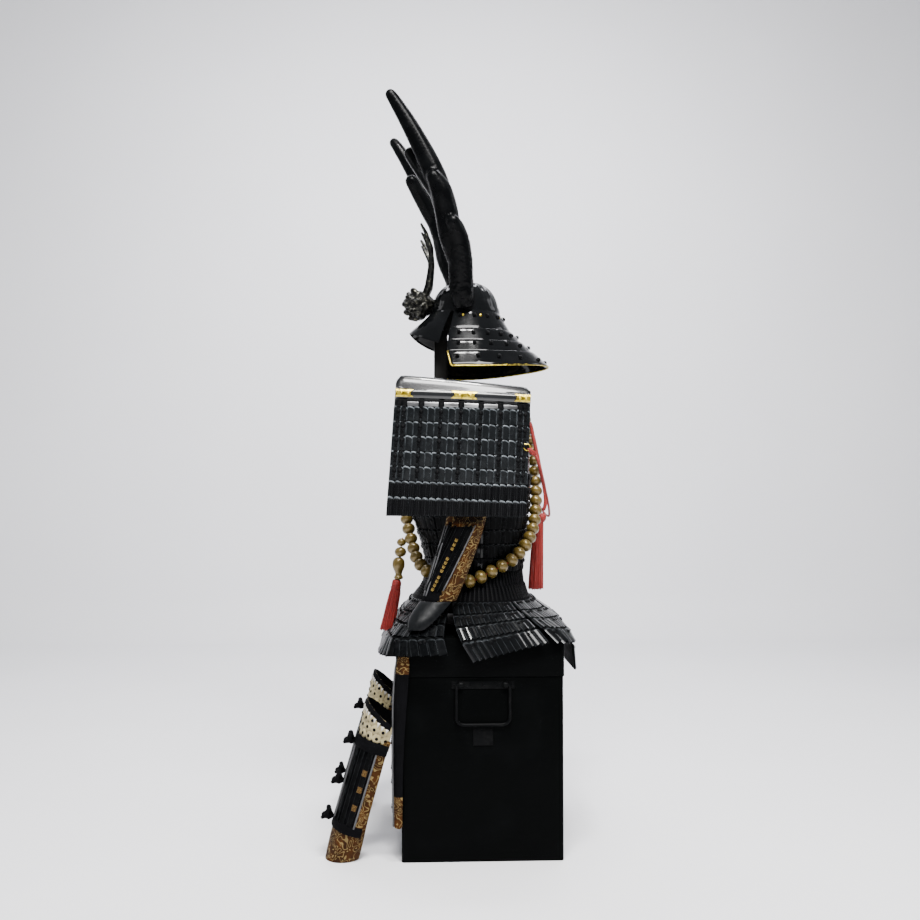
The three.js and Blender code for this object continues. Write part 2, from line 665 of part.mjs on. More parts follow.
function waistLacing() {
  const levels = [CUIRASS.low - GAP, 684, 661, TASSET.top + GAP];
  const grid = (out) => levels.map((z) => range(31).map((j) => figurePoint(j * 11.25, z, out)));
  return wall(grid(0), grid(-2.5), true);
}

function tasset({ topFrom, topTo, lowFrom, lowTo, zFrom, zTo }) {
  const { across, top, topOut, lowOut, wall: thick } = TASSET;
  const levels = [];
  TASSET_ROWS.slice(0, -1).forEach((start, k) => {
    levels.push({ t: start + (k > 0 ? 0.008 : 0), out: topOut });
    levels.push({ t: TASSET_ROWS[k + 1], out: lowOut });
  });
  const grid = (inside) => levels.map(({ t, out }) => range(across).map((j) => {
    const s = j / across;
    const angle = lerp(lerp(topFrom, topTo, s), lerp(lowFrom, lowTo, s), t);
    const z = lerp(top, lerp(zFrom, zTo, s), t);
    return figurePoint(angle, z, inside ? -thick : out);
  }));
  return wall(grid(false), grid(true));
}

// Shoulder guards: a gently curved board of a cap plate and laced rows
function shoulderPoint(s, edge, out, dz = 0) {
  const z = lerp(edge.front, edge.back, s) + dz;
  const t = (SHOULDER_FRONT.zTop - z) / (SHOULDER_FRONT.zTop - SHOULDER_FRONT.zLow);
  const front = lerp(SHOULDER_FRONT.top, SHOULDER_FRONT.low, t);
  const back = lerp(SHOULDER_BACK.top, SHOULDER_BACK.low, t);
  const x = SHOULDER.x + SHOULDER.bulge * (1 - Math.pow(2 * s - 1, 2)) + out;
  return point(x, lerp(front, back, s), z);
}

function shoulderGrid(edges, inside) {
  const inner = -4;
  return edges.map((edge, i) => range(SHOULDER.across).map((j) => {
    const isLeaning = i < 2;
    const out = inside && !isLeaning ? inner : edge.out + (inside ? inner : 0);
    return shoulderPoint(j / SHOULDER.across, edge, out);
  }));
}

function shoulderCap() {
  return wall(shoulderGrid(CAP_EDGES, false), shoulderGrid(CAP_EDGES, true));
}

function shoulderRow(index) {
  const isLowest = index === ROW_EDGES.length - 2;
  const topOut = index === 0 ? SHOULDER.firstTopOut : SHOULDER.rowTopOut;
  const levels = [
    { edge: ROW_EDGES[index], out: topOut, dz: 0 },
    { edge: ROW_EDGES[index + 1], out: SHOULDER.rowLowOut, dz: isLowest ? 0 : -SHOULDER.lap },
  ];
  const grid = (depth) => levels.map(({ edge, out, dz }) => range(SHOULDER.across).map((j) => (
    shoulderPoint(j / SHOULDER.across, edge, out - depth, dz))));
  return wall(grid(0), grid(SHOULDER.wall));
}

// Sleeves and hand plates
function sleeve() {
  const grid = (depth) => ARM.map(({ x, y, z, rx, ry }) => range(13).map((j) => {
    const angle = (2 * Math.PI * j) / 14;
    return point(x + (rx - depth) * Math.cos(angle), y + (ry - depth) * Math.sin(angle), z);
  }));
  return wall(grid(0), grid(SLEEVE_WALL), true);
}

function handPlate() {
  const outward = -32;
  const grid = (depth) => HAND.map(({ x, y, z, rx, ry, half }) => range(8).map((j) => {
    const angle = radians(outward + lerp(-half, half, j / 8));
    return point(x + (rx - depth) * Math.cos(angle), y + (ry - depth) * Math.sin(angle), z);
  }));
  return wall(grid(0), grid(2));
}

// Thigh apron: a sheet that follows the chest's front and turns back a little at its side edges
function apronPoint(row, share, out) {
  const { halfWidth, corner } = THIGH;
  const front = row.front + out;
  const side = halfWidth + out;
  const straight = side - corner;
  const arc = (Math.PI / 2) * corner;
  const distance = Math.abs(share) * row.reach;
  const sign = Math.sign(share);
  if (distance <= straight) return point(sign * distance, -front, row.z);
  const turn = Math.min((distance - straight) / corner, Math.PI / 2);
  const beyond = Math.max(distance - straight - arc, 0);
  return point(sign * (straight + corner * Math.sin(turn)), -front + corner * (1 - Math.cos(turn)) + beyond, row.z);
}

function thighGuard() {
  const { across, thick } = THIGH;
  const shares = range(across).map((j) => {
    const t = (2 * j) / across - 1;
    return Math.sign(t) * Math.pow(Math.abs(t), 0.55);
  });
  const outer = APRON.map((row) => shares.map((share) => apronPoint(row, share, 0)));
  const inner = APRON.map((row, i) => shares.map((share) => {
    const isFlat = i < 2;
    const p = apronPoint(row, share, isFlat ? -0.5 * i : -thick);
    return isFlat ? p.setZ(p.z - thick) : p;
  }));
  return wall(outer, inner);
}

// Shin and knee guards, made upright and then leaned back against the apron
function shellGrid(rings, depth, columns) {
  const slope = Math.tan(radians(SHIN.lean));
  return rings.map(({ h, level = 0, rise = 0, rx, ry, half }) => range(columns).map((j) => {
    const angle = radians(lerp(-half, half, j / columns));
    const y = -(ry - depth) * Math.cos(angle);
    const lift = rise * Math.pow(Math.max(Math.cos(angle * 0.75), 0), 1.5);
    return point((rx - depth) * Math.sin(angle), y, h + lift + level * y * slope);
  }));
}

function leaned(geometry) {
  return geometry.rotateX(-radians(SHIN.lean)).translate(SHIN.x, SHIN.footY, 0);
}

function shell(rings, columns) {
  return leaned(wall(shellGrid(rings, 0, columns), shellGrid(rings, SHIN.wall, columns)));
}

// Beads, cords and tassels
function beadPath() {
  const round = ({ angle, z, out }) => figurePoint(angle, z, out);
  const over = BEADS_SHOULDER.map(([x, y, z]) => point(x, y, z));
  return new THREE.CatmullRomCurve3([...BEADS_FRONT.map(round), ...BEADS_BACK.map(round), ...over], true);
}

function beadString() {
  const path = beadPath();
  const count = Math.round(path.getLength() / BEAD.pitch);
  const steps = [{ at: -0.5, r: BEAD.cord }, { at: -0.24, r: BEAD.radius * 0.93 }, { at: 0.24, r: BEAD.radius * 0.93 }];
  const centres = [];
  const radii = [];
  for (let i = 0; i < count; i += 1) {
    for (const { at, r } of steps) {
      centres.push(path.getPointAt(((i + at + count) / count) % 1));
      radii.push(r);
    }
  }
  return loft(tubeRings(centres, radii, BEAD.sides, true), true);
}

function hanging(rows, x, flatness = 1) {
  const sides = 8;
  return loft(rows.map(({ y, z, r }) => range(sides - 1).map((j) => {
    const angle = (2 * Math.PI * j) / sides;
    return point(x + r * Math.cos(angle), y + r * flatness * Math.sin(angle), z);
  })));
}

function cord(route, radius, steps) {
  const path = new THREE.CatmullRomCurve3(route.map((p) => point(...p)));
  const section = new THREE.Shape().absarc(0, 0, radius, 0, 2 * Math.PI, false);
  return new THREE.ExtrudeGeometry(section, { steps, curveSegments: 4, bevelEnabled: false, extrudePath: path });
}

add('chest_body', chestBody(), 'chest');
add('chest_lid', chestLid(), 'chest');
addPair('chest_handle', '', bail(), 'iron');
addPair('chest_handle_mount', '', bailMount(), 'iron');
addPair('chest_lock_plate', '', lockPlate(), 'iron');
add('stand', stand(), 'wood');
add('cuirass_front', cuirassHalf(0, CUIRASS.frontTop), 'lacquer');
add('cuirass_back', join(cuirassHalf(180, CUIRASS.backTop), strap(), mirrored(strap())), 'lacquer');
add('waist_lacing', waistLacing(), 'lacing');
for (const panel of TASSETS) {
  add(`tasset_${panel.name}`, tasset(panel), 'lacquer');
}
addPair('shoulder', '_cap', shoulderCap(), 'lacquer');
for (let index = 0; index < ROW_EDGES.length - 1; index += 1) {
  addPair('shoulder', `_row_${index + 1}`, shoulderRow(index), 'lacquer');
}
addPair('sleeve', '', sleeve(), 'brocade');
addPair('hand_guard', '', handPlate(), 'lacquer');
add('thigh_guard', thighGuard(), 'brocade');
addPair('shin_guard', '', shell(SHIN_RINGS, 12), 'brocade');
addPair('knee_guard', '', shell(KNEE_RINGS, 12), 'hexagon');
add('helmet_bowl', bowl(), 'lacquer');
add('helmet_visor', visor(), 'lacquer');
for (let index = 0; index < NECK.length - 1; index += 1) {
  add(`neck_guard_row_${index + 1}`, neckRow(index), 'lacquer');
}
add('helmet_crest', crest(), 'carving');
addPair('antler', '', seated(join(...Object.values(ANTLER).map((rows) => limb(rows)))), 'antler');
add('bead_string', beadString(), 'bead');
add('bead_pendant', hanging(PENDANT, PENDANT_X), 'bead');
add('front_tassel', hanging(FRONT_TASSEL, PENDANT_X, 0.7), 'silk');
add('back_cord', cord(BACK_CORD, CORD_RADIUS, 22), 'silk');
add('back_tassel', hanging(BACK_TASSEL, 0), 'silk');
const cordRight = SHOULDER_CORD.slice(0, -1).map(([x, y, z]) => [-x, y, z]).reverse();
add('shoulder_cord', cord([...SHOULDER_CORD, ...cordRight], 3.5, 40), 'silk');

export default armour;
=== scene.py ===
import random
from functools import cache
from math import asin, atan2, copysign, cos, degrees, hypot, pi, radians, sin, sqrt, tau

import bmesh
import bpy
from bpy.props import FloatProperty, FloatVectorProperty, IntProperty, PointerProperty
from mathutils import Matrix, Vector, noise
from mathutils.bvhtree import BVHTree


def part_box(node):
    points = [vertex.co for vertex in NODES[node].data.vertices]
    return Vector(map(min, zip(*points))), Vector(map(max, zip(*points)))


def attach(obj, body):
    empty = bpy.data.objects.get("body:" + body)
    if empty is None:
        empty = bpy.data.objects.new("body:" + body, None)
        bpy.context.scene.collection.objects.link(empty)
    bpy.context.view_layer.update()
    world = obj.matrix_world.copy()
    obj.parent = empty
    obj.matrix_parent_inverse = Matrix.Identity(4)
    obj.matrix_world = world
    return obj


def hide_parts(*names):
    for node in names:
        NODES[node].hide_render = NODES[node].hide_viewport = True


bl_info = {
    "name": "Laced armour on its chest",
    "version": (1, 0, 0),
    "blender": (4, 5, 0),
    "location": "View3D > Sidebar > Armour",
    "description": "Builds the visible surfaces of a suit of laced armour over its CAD frame",
    "category": "Object",
}

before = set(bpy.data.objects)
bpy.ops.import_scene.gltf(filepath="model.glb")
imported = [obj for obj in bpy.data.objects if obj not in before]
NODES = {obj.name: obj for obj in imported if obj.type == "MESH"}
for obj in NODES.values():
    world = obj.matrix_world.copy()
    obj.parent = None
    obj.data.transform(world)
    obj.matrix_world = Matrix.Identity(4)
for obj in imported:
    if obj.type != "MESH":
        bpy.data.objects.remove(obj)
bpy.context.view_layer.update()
SUIT = "armour"
UP = Vector((0, 0, 1))
SIDES = (("left", 1), ("right", -1))

# Edges of the shoulder guard rows: height at the front edge and at the back edge
SHOULDER_EDGES = [(1.122, 1.112), (1.085, 1.072), (1.050, 1.035), (1.012, 0.997), (0.975, 0.961),
                  (0.938, 0.926), (0.899, 0.886), (0.850, 0.847)]
LACED_ROWS = 5
# Where the lacing runs down the shoulder guards, from the front edge to the back edge
LACING_COLUMNS = [0.035, 0.075, 0.2, 0.345, 0.49, 0.635, 0.78, 0.925, 0.965]
CUIRASS_LAMES = [0.700, 0.737, 0.774, 0.811, 0.848, 0.885, 0.922, 0.959]
# Tassets: angles round the body from the front towards the left at top and hem, and hem heights
TASSETS = [
    ("front", -22, 22, -21, 21, 0.503, 0.503), ("front_left", 24, 66, 23.5, 73, 0.500, 0.511),
    ("side_left", 68, 113, 85, 120, 0.494, 0.538), ("back_left", 115, 157, 123, 157, 0.540, 0.518),
    ("back", 159, 201, 160, 200, 0.440, 0.440), ("back_right", 203, 245, 203, 237, 0.518, 0.540),
    ("side_right", 247, 292, 240, 275, 0.538, 0.494), ("front_right", 294, 336, 287, 336.5, 0.511, 0.500),
]
TASSET_TOP = 0.628
TASSET_ROWS = [0.0, 0.22, 0.41, 0.64, 1.0]
BOWL_Y = -0.033
# Limbs of the left antler: middle line and half thickness, from the root to the blunt end
ANTLER_LIMBS = [
    [(0.084, -0.040, 1.404, 0.026), (0.097, -0.045, 1.432, 0.031), (0.105, -0.048, 1.466, 0.0330),
     (0.125, -0.051, 1.513, 0.0325), (0.146, -0.056, 1.560, 0.0295), (0.168, -0.064, 1.590, 0.0235),
     (0.180, -0.072, 1.605, 0.0190)],
    [(0.118, -0.050, 1.500, 0.027), (0.140, -0.077, 1.575, 0.0300), (0.155, -0.089, 1.640, 0.0310),
     (0.171, -0.102, 1.686, 0.0290), (0.179, -0.114, 1.708, 0.0240), (0.184, -0.122, 1.720, 0.0200)],
    [(0.154, -0.088, 1.640, 0.0300), (0.160, -0.117, 1.725, 0.0300), (0.165, -0.147, 1.790, 0.0262),
     (0.171, -0.186, 1.861, 0.0216), (0.177, -0.221, 1.917, 0.0168), (0.180, -0.233, 1.934, 0.0145)],
    [(0.162, -0.098, 1.668, 0.0240), (0.148, -0.128, 1.716, 0.0235), (0.130, -0.160, 1.766, 0.0205),
     (0.116, -0.181, 1.801, 0.0190)],
]
# Rings of the sleeves: height, middle across and back, half widths across and back
ARM = [(1.1314, 0.214, -0.030, 0.034, 0.046), (1.040, 0.216, -0.026, 0.037, 0.049),
       (0.940, 0.217, -0.024, 0.036, 0.049), (0.868, 0.217, -0.034, 0.036, 0.051),
       (0.826, 0.217, -0.043, 0.036, 0.052), (0.763, 0.217, -0.063, 0.035, 0.051),
       (0.700, 0.217, -0.084, 0.033, 0.048), (0.637, 0.217, -0.108, 0.032, 0.045)]
# Rings of the shin guards before they lean on the chest: height, half widths
SHIN = [(0.0, 0.046, 0.044), (0.050, 0.054, 0.050), (0.112, 0.055, 0.050), (0.202, 0.058, 0.052),
        (0.308, 0.060, 0.052), (0.334, 0.063, 0.054), (0.348, 0.065, 0.057), (0.394, 0.067, 0.058)]
SHIN_LEAN = radians(-17)
SHIN_FOOT = (0.201, -0.3466)


class ArmourSizes(bpy.types.PropertyGroup):
    """Sizes that set how fine the laced work is."""

    scale_thickness: FloatProperty(name="Scale thickness", description="How far a scale stands off its row",
        default=0.0018, min=0.0005, max=0.005, unit="LENGTH")
    scale_slant: FloatProperty(name="Scale slant", description="How much each scale laps over the next",
        default=radians(5), min=0.0, max=0.4, subtype="ANGLE")
    braid_width: FloatProperty(name="Braid width", description="Width of one lacing braid", default=0.0048,
        min=0.002, max=0.01, unit="LENGTH")
    hexagon: FloatProperty(name="Hexagon", description="Width of one quilted hexagon of the knee guards",
        default=0.0225, min=0.006, max=0.03, unit="LENGTH")
    bowl_ribs: IntProperty(name="Bowl ribs", description="Raised ribs round the helmet bowl", default=18,
        min=8, max=72)
    tassel_strands: IntProperty(name="Tassel strands", description="Strands in the skirt of a tassel",
        default=110, min=20, max=300)


class ArmourColours(bpy.types.PropertyGroup):
    """Colours that a user would change."""

    lacquer: FloatVectorProperty(name="Lacquer", description="Black lacquer of scales and helmet", size=3,
        subtype="COLOR", default=(0.0035, 0.004, 0.0046))
    silk: FloatVectorProperty(name="Silk", description="Red silk of cords and tassels", size=3,
        subtype="COLOR", default=(0.25, 0.012, 0.008))
    bead: FloatVectorProperty(name="Beads", description="Olive gold of the beads", size=3, subtype="COLOR",
        default=(0.138, 0.092, 0.0165))
    brocade: FloatVectorProperty(name="Brocade", description="Ground colour of the brocade", size=3,
        subtype="COLOR", default=(0.040, 0.0145, 0.003))
    cream: FloatVectorProperty(name="Cream", description="Quilted cloth of the knee guards", size=3,
        subtype="COLOR", default=(0.36, 0.305, 0.165))
    wall: FloatVectorProperty(name="Room", description="Floor and backdrop", size=3, subtype="COLOR",
        default=(0.87, 0.87, 0.893))


def sizes():
    return bpy.context.scene.armour_sizes


def colours():
    return bpy.context.scene.armour_colours


# Finishes

class Finish:
    """A material under construction: nodes are added with their inputs linked or set."""

    def __init__(self, name, **fixed):
        self.material = bpy.data.materials.new(name)
        self.material.use_nodes = True
        self.tree = self.material.node_tree
        self.shader = self.tree.nodes["Principled BSDF"]
        for socket, value in fixed.items():
            self.shader.inputs[socket.replace("_", " ")].default_value = value
        self.coords = self.tree.nodes.new("ShaderNodeTexCoord")

    @property
    def place(self):
        return self.coords.outputs["Object"]

    @property
    def cut(self):
        return self.coords.outputs["UV"]

    def add(self, kind, inputs=None, **settings):
        return put_node(self.tree, kind, inputs, **settings)

    def group(self, group, **inputs):
        named = {key.replace("_", " "): value for key, value in inputs.items()}
        node = self.tree.nodes.new("ShaderNodeGroup")
        node.node_tree = group
        for key, value in named.items():
            plug(self.tree, node.inputs[key], value)
        return node

    def set(self, socket, value):
        plug(self.tree, self.shader.inputs[socket], value)

    def relief(self, height, strength=0.3, distance=0.001):
        bump = self.add("Bump", {"Strength": strength, "Distance": distance, "Height": height})
        self.set("Normal", bump.outputs["Normal"])

    def maths(self, operation, first, second=0.0):
        return math_node(self.tree, operation, first, second)

    def spread(self, *limits):
        return map_range(self.tree, *limits)

    def clouds(self, vector, scale, detail, distortion=0.0):
        """Soft noise."""
        return self.add("TexNoise", {"Vector": vector, "Scale": scale, "Detail": detail,
            "Distortion": distortion}).outputs["Fac"]

    def roughen(self, value, share, least):
        """Roughness that rises with a value."""
        self.set("Roughness", self.maths("ADD", self.maths("MULTIPLY", value, share), least))

    def ramp(self, factor, stops):
        node = self.add("ValToRGB", {"Fac": factor})
        elements = node.color_ramp.elements
        while len(elements) < len(stops):
            elements.new(0.5)
        for element, (position, colour) in zip(elements, stops):
            element.position = position
            element.color = (*colour[:3], 1)
        return node.outputs["Color"]

    def mix(self, factor, first, second):
        """Two colours mixed, each a socket or three numbers."""
        first, second = (c if isinstance(c, bpy.types.NodeSocket) else (*c[:3], 1) for c in (first, second))
        node = self.add("Mix", {"Factor": factor}, data_type="RGBA")
        plug(self.tree, node.inputs["A"], first)
        plug(self.tree, node.inputs["B"], second)
        return node.outputs["Result"]


def plug(tree, socket, value):
    if isinstance(value, bpy.types.NodeSocket):
        tree.links.new(value, socket)
    else:
        socket.default_value = value


def put_node(tree, kind, inputs=None, **settings):
    node = tree.nodes.new("ShaderNode" + kind)
    for key, value in settings.items():
        setattr(node, key, value)
    for key, value in (inputs or {}).items():
        plug(tree, node.inputs[key], value)
    return node


def math_node(tree, operation, first, second=0.0):
    return put_node(tree, "Math", {0: first, 1: second}, operation=operation).outputs[0]


def map_range(tree, value, low, high, first, last):
    """Spreads what lies between two values over a new range."""
    return put_node(tree, "MapRange", {"Value": value, "From Min": low, "From Max": high, "To Min": first,
        "To Max": last}).outputs["Result"]


def grey(value):
    return (value, value, value)


def tint(colour, amount):
    return tuple(min(1.0, channel * amount) for channel in colour)


def new_group(name, inputs, outputs):
    """A shader node group with named sockets. Returns the group and its input and output nodes."""
    group = bpy.data.node_groups.new(name, "ShaderNodeTree")
    for label, kind, default in inputs:
        socket = group.interface.new_socket(name=label, in_out="INPUT", socket_type="NodeSocket" + kind)
        if default is not None:
            socket.default_value = default
    for label, kind in outputs:
        group.interface.new_socket(name=label, in_out="OUTPUT", socket_type="NodeSocket" + kind)
    return group, group.nodes.new("NodeGroupInput"), group.nodes.new("NodeGroupOutput")


@cache
def wear_group():
    """Handling marks on a polished surface: a roughness that drifts, with fine brushing in the height."""
    group, start, end = new_group("Handling marks", [("Vector", "Vector", None), ("Clean", "Float", 0.2),
        ("Worn", "Float", 0.45), ("Marks", "Float", 18.0)], [("Roughness", "Float"), ("Height", "Float"),
        ("Dust", "Float")])
    broad = put_node(group, "TexNoise", {"Vector": start.outputs["Vector"], "Scale": start.outputs["Marks"],
        "Detail": 6.0})
    fine = put_node(group, "TexNoise", {"Vector": start.outputs["Vector"], "Scale": 900.0, "Detail": 3.0})
    spread = map_range(group, broad.outputs["Fac"], 0.35, 0.7, start.outputs["Clean"],
        start.outputs["Worn"])
    dust = map_range(group, broad.outputs["Fac"], 0.5, 0.8, 0.0, 1.0)
    height = math_node(group, "ADD", math_node(group, "MULTIPLY", broad.outputs["Fac"], 0.7),
        math_node(group, "MULTIPLY", fine.outputs["Fac"], 0.3))
    group.links.new(spread, end.inputs["Roughness"])
    group.links.new(height, end.inputs["Height"])
    group.links.new(dust, end.inputs["Dust"])
    return group


@cache
def weave_group():
    """Plain weave on a cut measured in metres: crossing threads, with a shade for the gaps."""
    group, start, end = new_group("Plain weave", [("Vector", "Vector", None), ("Threads", "Float", 900.0)],
        [("Height", "Float"), ("Shade", "Float")])
    apart = put_node(group, "SeparateXYZ", {"Vector": start.outputs["Vector"]})
    waves = []
    for axis in ("X", "Y"):
        run = math_node(group, "MULTIPLY", apart.outputs[axis], start.outputs["Threads"])
        waves.append(math_node(group, "SINE", math_node(group, "MULTIPLY", run, 3.14159)))
    over = math_node(group, "MULTIPLY", waves[0], waves[1])
    height = math_node(group, "ADD", math_node(group, "MULTIPLY", over, 0.5), 0.5)
    shade = map_range(group, math_node(group, "ABSOLUTE", over), 0.0, 0.5, 0.55, 1.0)
    group.links.new(height, end.inputs["Height"])
    group.links.new(shade, end.inputs["Shade"])
    return group


@cache
def braid_group():
    """Braided cord on a map that runs once round and then along it in metres."""
    group, start, end = new_group("Braid", [("Vector", "Vector", None), ("Turns", "Float", 260.0)],
        [("Height", "Float"), ("Shade", "Float")])
    apart = put_node(group, "SeparateXYZ", {"Vector": start.outputs["Vector"]})
    along = math_node(group, "MULTIPLY", apart.outputs["Y"], start.outputs["Turns"])
    round_it = math_node(group, "MULTIPLY", apart.outputs["X"], 4.0)
    strands = []
    for operation in ("ADD", "SUBTRACT"):
        run = math_node(group, operation, along, round_it)
        strands.append(math_node(group, "ABSOLUTE", math_node(group, "SINE",
            math_node(group, "MULTIPLY", run, 3.14159))))
    height = math_node(group, "MAXIMUM", strands[0], strands[1])
    shade = map_range(group, height, 0.3, 0.95, 0.35, 1.0)
    group.links.new(height, end.inputs["Height"])
    group.links.new(shade, end.inputs["Shade"])
    return group


def lacquer(name, colour, clean, worn, relief, coat=0.0, marks=18.0, speckle=0.0, shine=0.3):
    """Polished black lacquer: faint marks, a trace of dust, and a little unevenness."""
    finish = Finish(name, Specular_IOR_Level=shine, Coat_Weight=coat, Coat_Roughness=0.04)
    wear = finish.group(wear_group(), Vector=finish.place, Clean=clean, Worn=worn, Marks=marks)
    dusty = tuple(channel * 1.5 + 0.0008 for channel in colour)
    finish.set("Base Color", finish.mix(wear.outputs["Dust"], colour, dusty))
    finish.set("Roughness", wear.outputs["Roughness"])
    height = wear.outputs["Height"]
    if speckle:
        grains = finish.add("TexVoronoi", {"Vector": finish.place, "Scale": speckle})
        height = finish.maths("ADD", finish.maths("MULTIPLY", grains.outputs["Distance"], 0.8), height)
    finish.relief(height, relief, 0.0008)
    return finish.material


def scale_lacquer(name, black, side_highlight_and_rub, head_highlight, shine, coat, clean, worn):
    """Black lacquer on scales, with pale grey painted highlights along both long edges and along the head;
    along the edges they also stand for rubbed lacquer.
    """
    finish = Finish(name, Specular_IOR_Level=shine, Coat_Weight=coat, Coat_Roughness=0.06)
    wear = finish.group(wear_group(), Vector=finish.place, Clean=clean, Worn=worn, Marks=40.0)
    apart = finish.add("SeparateXYZ", {"Vector": finish.cut})
    # Painted highlights: a band along both long edges, partly rubbed wear, and a band along the rounded
    # head, where it catches the light.
    side = finish.spread(finish.maths("ABSOLUTE", apart.outputs["X"]), 0.39, 0.47, 0.0, side_highlight_and_rub)
    head = finish.spread(apart.outputs["Y"], 0.435, 0.46, 0.0, head_highlight)
    # Random patches in which the painted highlights show more strongly.
    rub = finish.clouds(finish.place, 75.0, 3.0)
    patchy = finish.spread(rub, 0.38, 0.6, 0.25, 1.0)
    edge = finish.maths("MULTIPLY", finish.maths("MAXIMUM", side, head), patchy)
    dusty = tuple(channel * 1.6 + 0.003 for channel in black)
    ground = finish.mix(wear.outputs["Dust"], black, dusty)
    # The pale grey of the painted highlights over the black ground.
    finish.set("Base Color", finish.mix(edge, ground, (0.17, 0.19, 0.205, 1)))
    finish.set("Roughness", wear.outputs["Roughness"])
    finish.relief(wear.outputs["Height"], 0.05, 0.0008)
    return finish.material


def steel():
    """Polished steel strip, with a painted highlight: pale brushed steel only near y = -0.045, turning dark
    further along.
    """
    finish = Finish("bright_steel", Metallic=1.0)
    stretch = finish.add("Mapping", {"Vector": finish.place, "Scale": (30.0, 14.0, 60.0)})
    brush = finish.clouds(stretch.outputs["Vector"], 1.0, 3.0)
    # Painted highlight: the strip is coloured pale near y = -0.045 and dark away from there.
    along = finish.add("SeparateXYZ", {"Vector": finish.place})
    reach = finish.maths("ABSOLUTE", finish.maths("ADD", along.outputs["Y"], 0.045))
    painted_highlight = finish.spread(reach, 0.04, 0.11, 1.0, 0.22)
    base = finish.ramp(brush, [(0.35, grey(0.3)), (0.55, grey(0.9))])
    finish.set("Base Color", finish.mix(painted_highlight, (0.03, 0.03, 0.035, 1), base))
    finish.roughen(brush, 0.25, 0.2)
    finish.relief(brush, 0.15, 0.0005)
    return finish.material


def gilt():
    """Gilded fittings with punched ground."""
    finish = Finish("gilt", Metallic=1.0)
    spots = finish.add("TexVoronoi", {"Vector": finish.place, "Scale": 900.0})
    stain = finish.clouds(finish.place, 160.0, 4.0)
    finish.set("Base Color", finish.ramp(stain, [(0.35, (0.34, 0.23, 0.015)), (0.6, (0.80, 0.62, 0.075))]))
    finish.roughen(stain, 0.3, 0.15)
    finish.relief(spots.outputs["Distance"], 0.35, 0.0006)
    return finish.material


def silk(name, colour, turns, rough, sheen=0.3, shine=0.4):
    """Braided silk cord."""
    finish = Finish(name, Sheen_Weight=sheen, Sheen_Roughness=0.4, Specular_IOR_Level=shine)
    braid = finish.group(braid_group(), Vector=finish.cut, Turns=turns)
    fade = finish.clouds(finish.place, 60.0, 3.0)
    base = finish.ramp(fade, [(0.3, tint(colour, 0.75)), (0.7, tint(colour, 1.2))])
    finish.set("Base Color", finish.mix(braid.outputs["Shade"], tint(colour, 0.3), base))
    finish.roughen(fade, 0.15, rough)
    finish.relief(braid.outputs["Height"], 0.7, 0.0008)
    return finish.material


def floss(name, colour):
    """Loose silk strands of a tassel, streaked along their length."""
    finish = Finish(name, Sheen_Weight=0.12, Sheen_Roughness=0.35)
    stretch = finish.add("Mapping", {"Vector": finish.place, "Scale": (900.0, 900.0, 14.0)})
    streak = finish.clouds(stretch.outputs["Vector"], 1.0, 2.0)
    finish.set("Base Color", finish.ramp(streak, [(0.3, tint(colour, 0.45)), (0.55, colour),
        (0.8, tint(colour, 1.5))]))
    finish.roughen(streak, 0.2, 0.42)
    finish.relief(streak, 0.6, 0.0006)
    return finish.material


def bead_wood():
    """Satin beads, olive gold with grain running round from hole to hole."""
    colour = tuple(colours().bead)
    finish = Finish("bead_wood", Metallic=0.35, Coat_Weight=0.35, Coat_Roughness=0.06)
    grain = finish.clouds(finish.cut, 9.0, 8.0, 1.2)
    patch = finish.clouds(finish.place, 45.0, 4.0)
    base = finish.ramp(grain, [(0.32, tint(colour, 0.45)), (0.52, colour), (0.75, tint(colour, 1.5))])
    finish.set("Base Color", finish.mix(finish.maths("MULTIPLY", patch, 0.5), base, tint(colour, 0.6)))
    finish.roughen(grain, 0.25, 0.22)
    finish.relief(grain, 0.25, 0.0006)
    return finish.material


def brocade(name, ground, thread, motif=46.0, density=0.44):
    """Brocade: a raised pale vine in scrolls over a coloured twill ground."""
    finish = Finish(name, Sheen_Weight=0.01, Sheen_Roughness=0.5, Specular_IOR_Level=0.1)
    weave = finish.group(weave_group(), Vector=finish.cut, Threads=1400.0)
    vine = finish.clouds(finish.cut, motif, 0.0, 1.1)
    swing = finish.maths("PINGPONG", finish.maths("MULTIPLY", vine, 4.6), 0.5)
    line = finish.spread(swing, 0.5 - density * 0.36, 0.5 - density * 0.26, 0.0, 1.0)
    patch = finish.clouds(finish.cut, 34.0, 2.0)
    base = finish.ramp(patch, [(0.35, tint(ground, 0.5)), (0.55, ground),
        (0.72, (ground[0] * 1.8, ground[1] * 1.6, ground[2]))])
    gold = finish.ramp(patch, [(0.3, tint(thread, 0.6)), (0.6, thread)])
    cloth = finish.mix(line, base, gold)
    finish.set("Base Color", finish.mix(weave.outputs["Shade"], tint(ground, 0.35), cloth))
    finish.set("Roughness", finish.maths("SUBTRACT", 0.85, finish.maths("MULTIPLY", line, 0.3)))
    height = finish.maths("ADD", finish.maths("MULTIPLY", weave.outputs["Height"], 0.4), line)
    finish.relief(height, 0.6, 0.0007)
    return finish.material


def cloth(name, colour, threads=1100.0, rough=0.85, sheen=0.12, shine=0.3):
    """Plain woven cloth, slightly uneven in colour."""
    finish = Finish(name, Sheen_Weight=sheen, Sheen_Roughness=0.5, Specular_IOR_Level=shine)
    weave = finish.group(weave_group(), Vector=finish.cut, Threads=threads)
    patch = finish.clouds(finish.place, 40.0, 5.0)
    base = finish.ramp(patch, [(0.3, tint(colour, 0.7)), (0.7, tint(colour, 1.2))])
    finish.set("Base Color", finish.mix(weave.outputs["Shade"], tint(colour, 0.4), base))
    finish.roughen(patch, 0.1, rough - 0.05)
    finish.relief(weave.outputs["Height"], 0.5, 0.0005)
    return finish.material


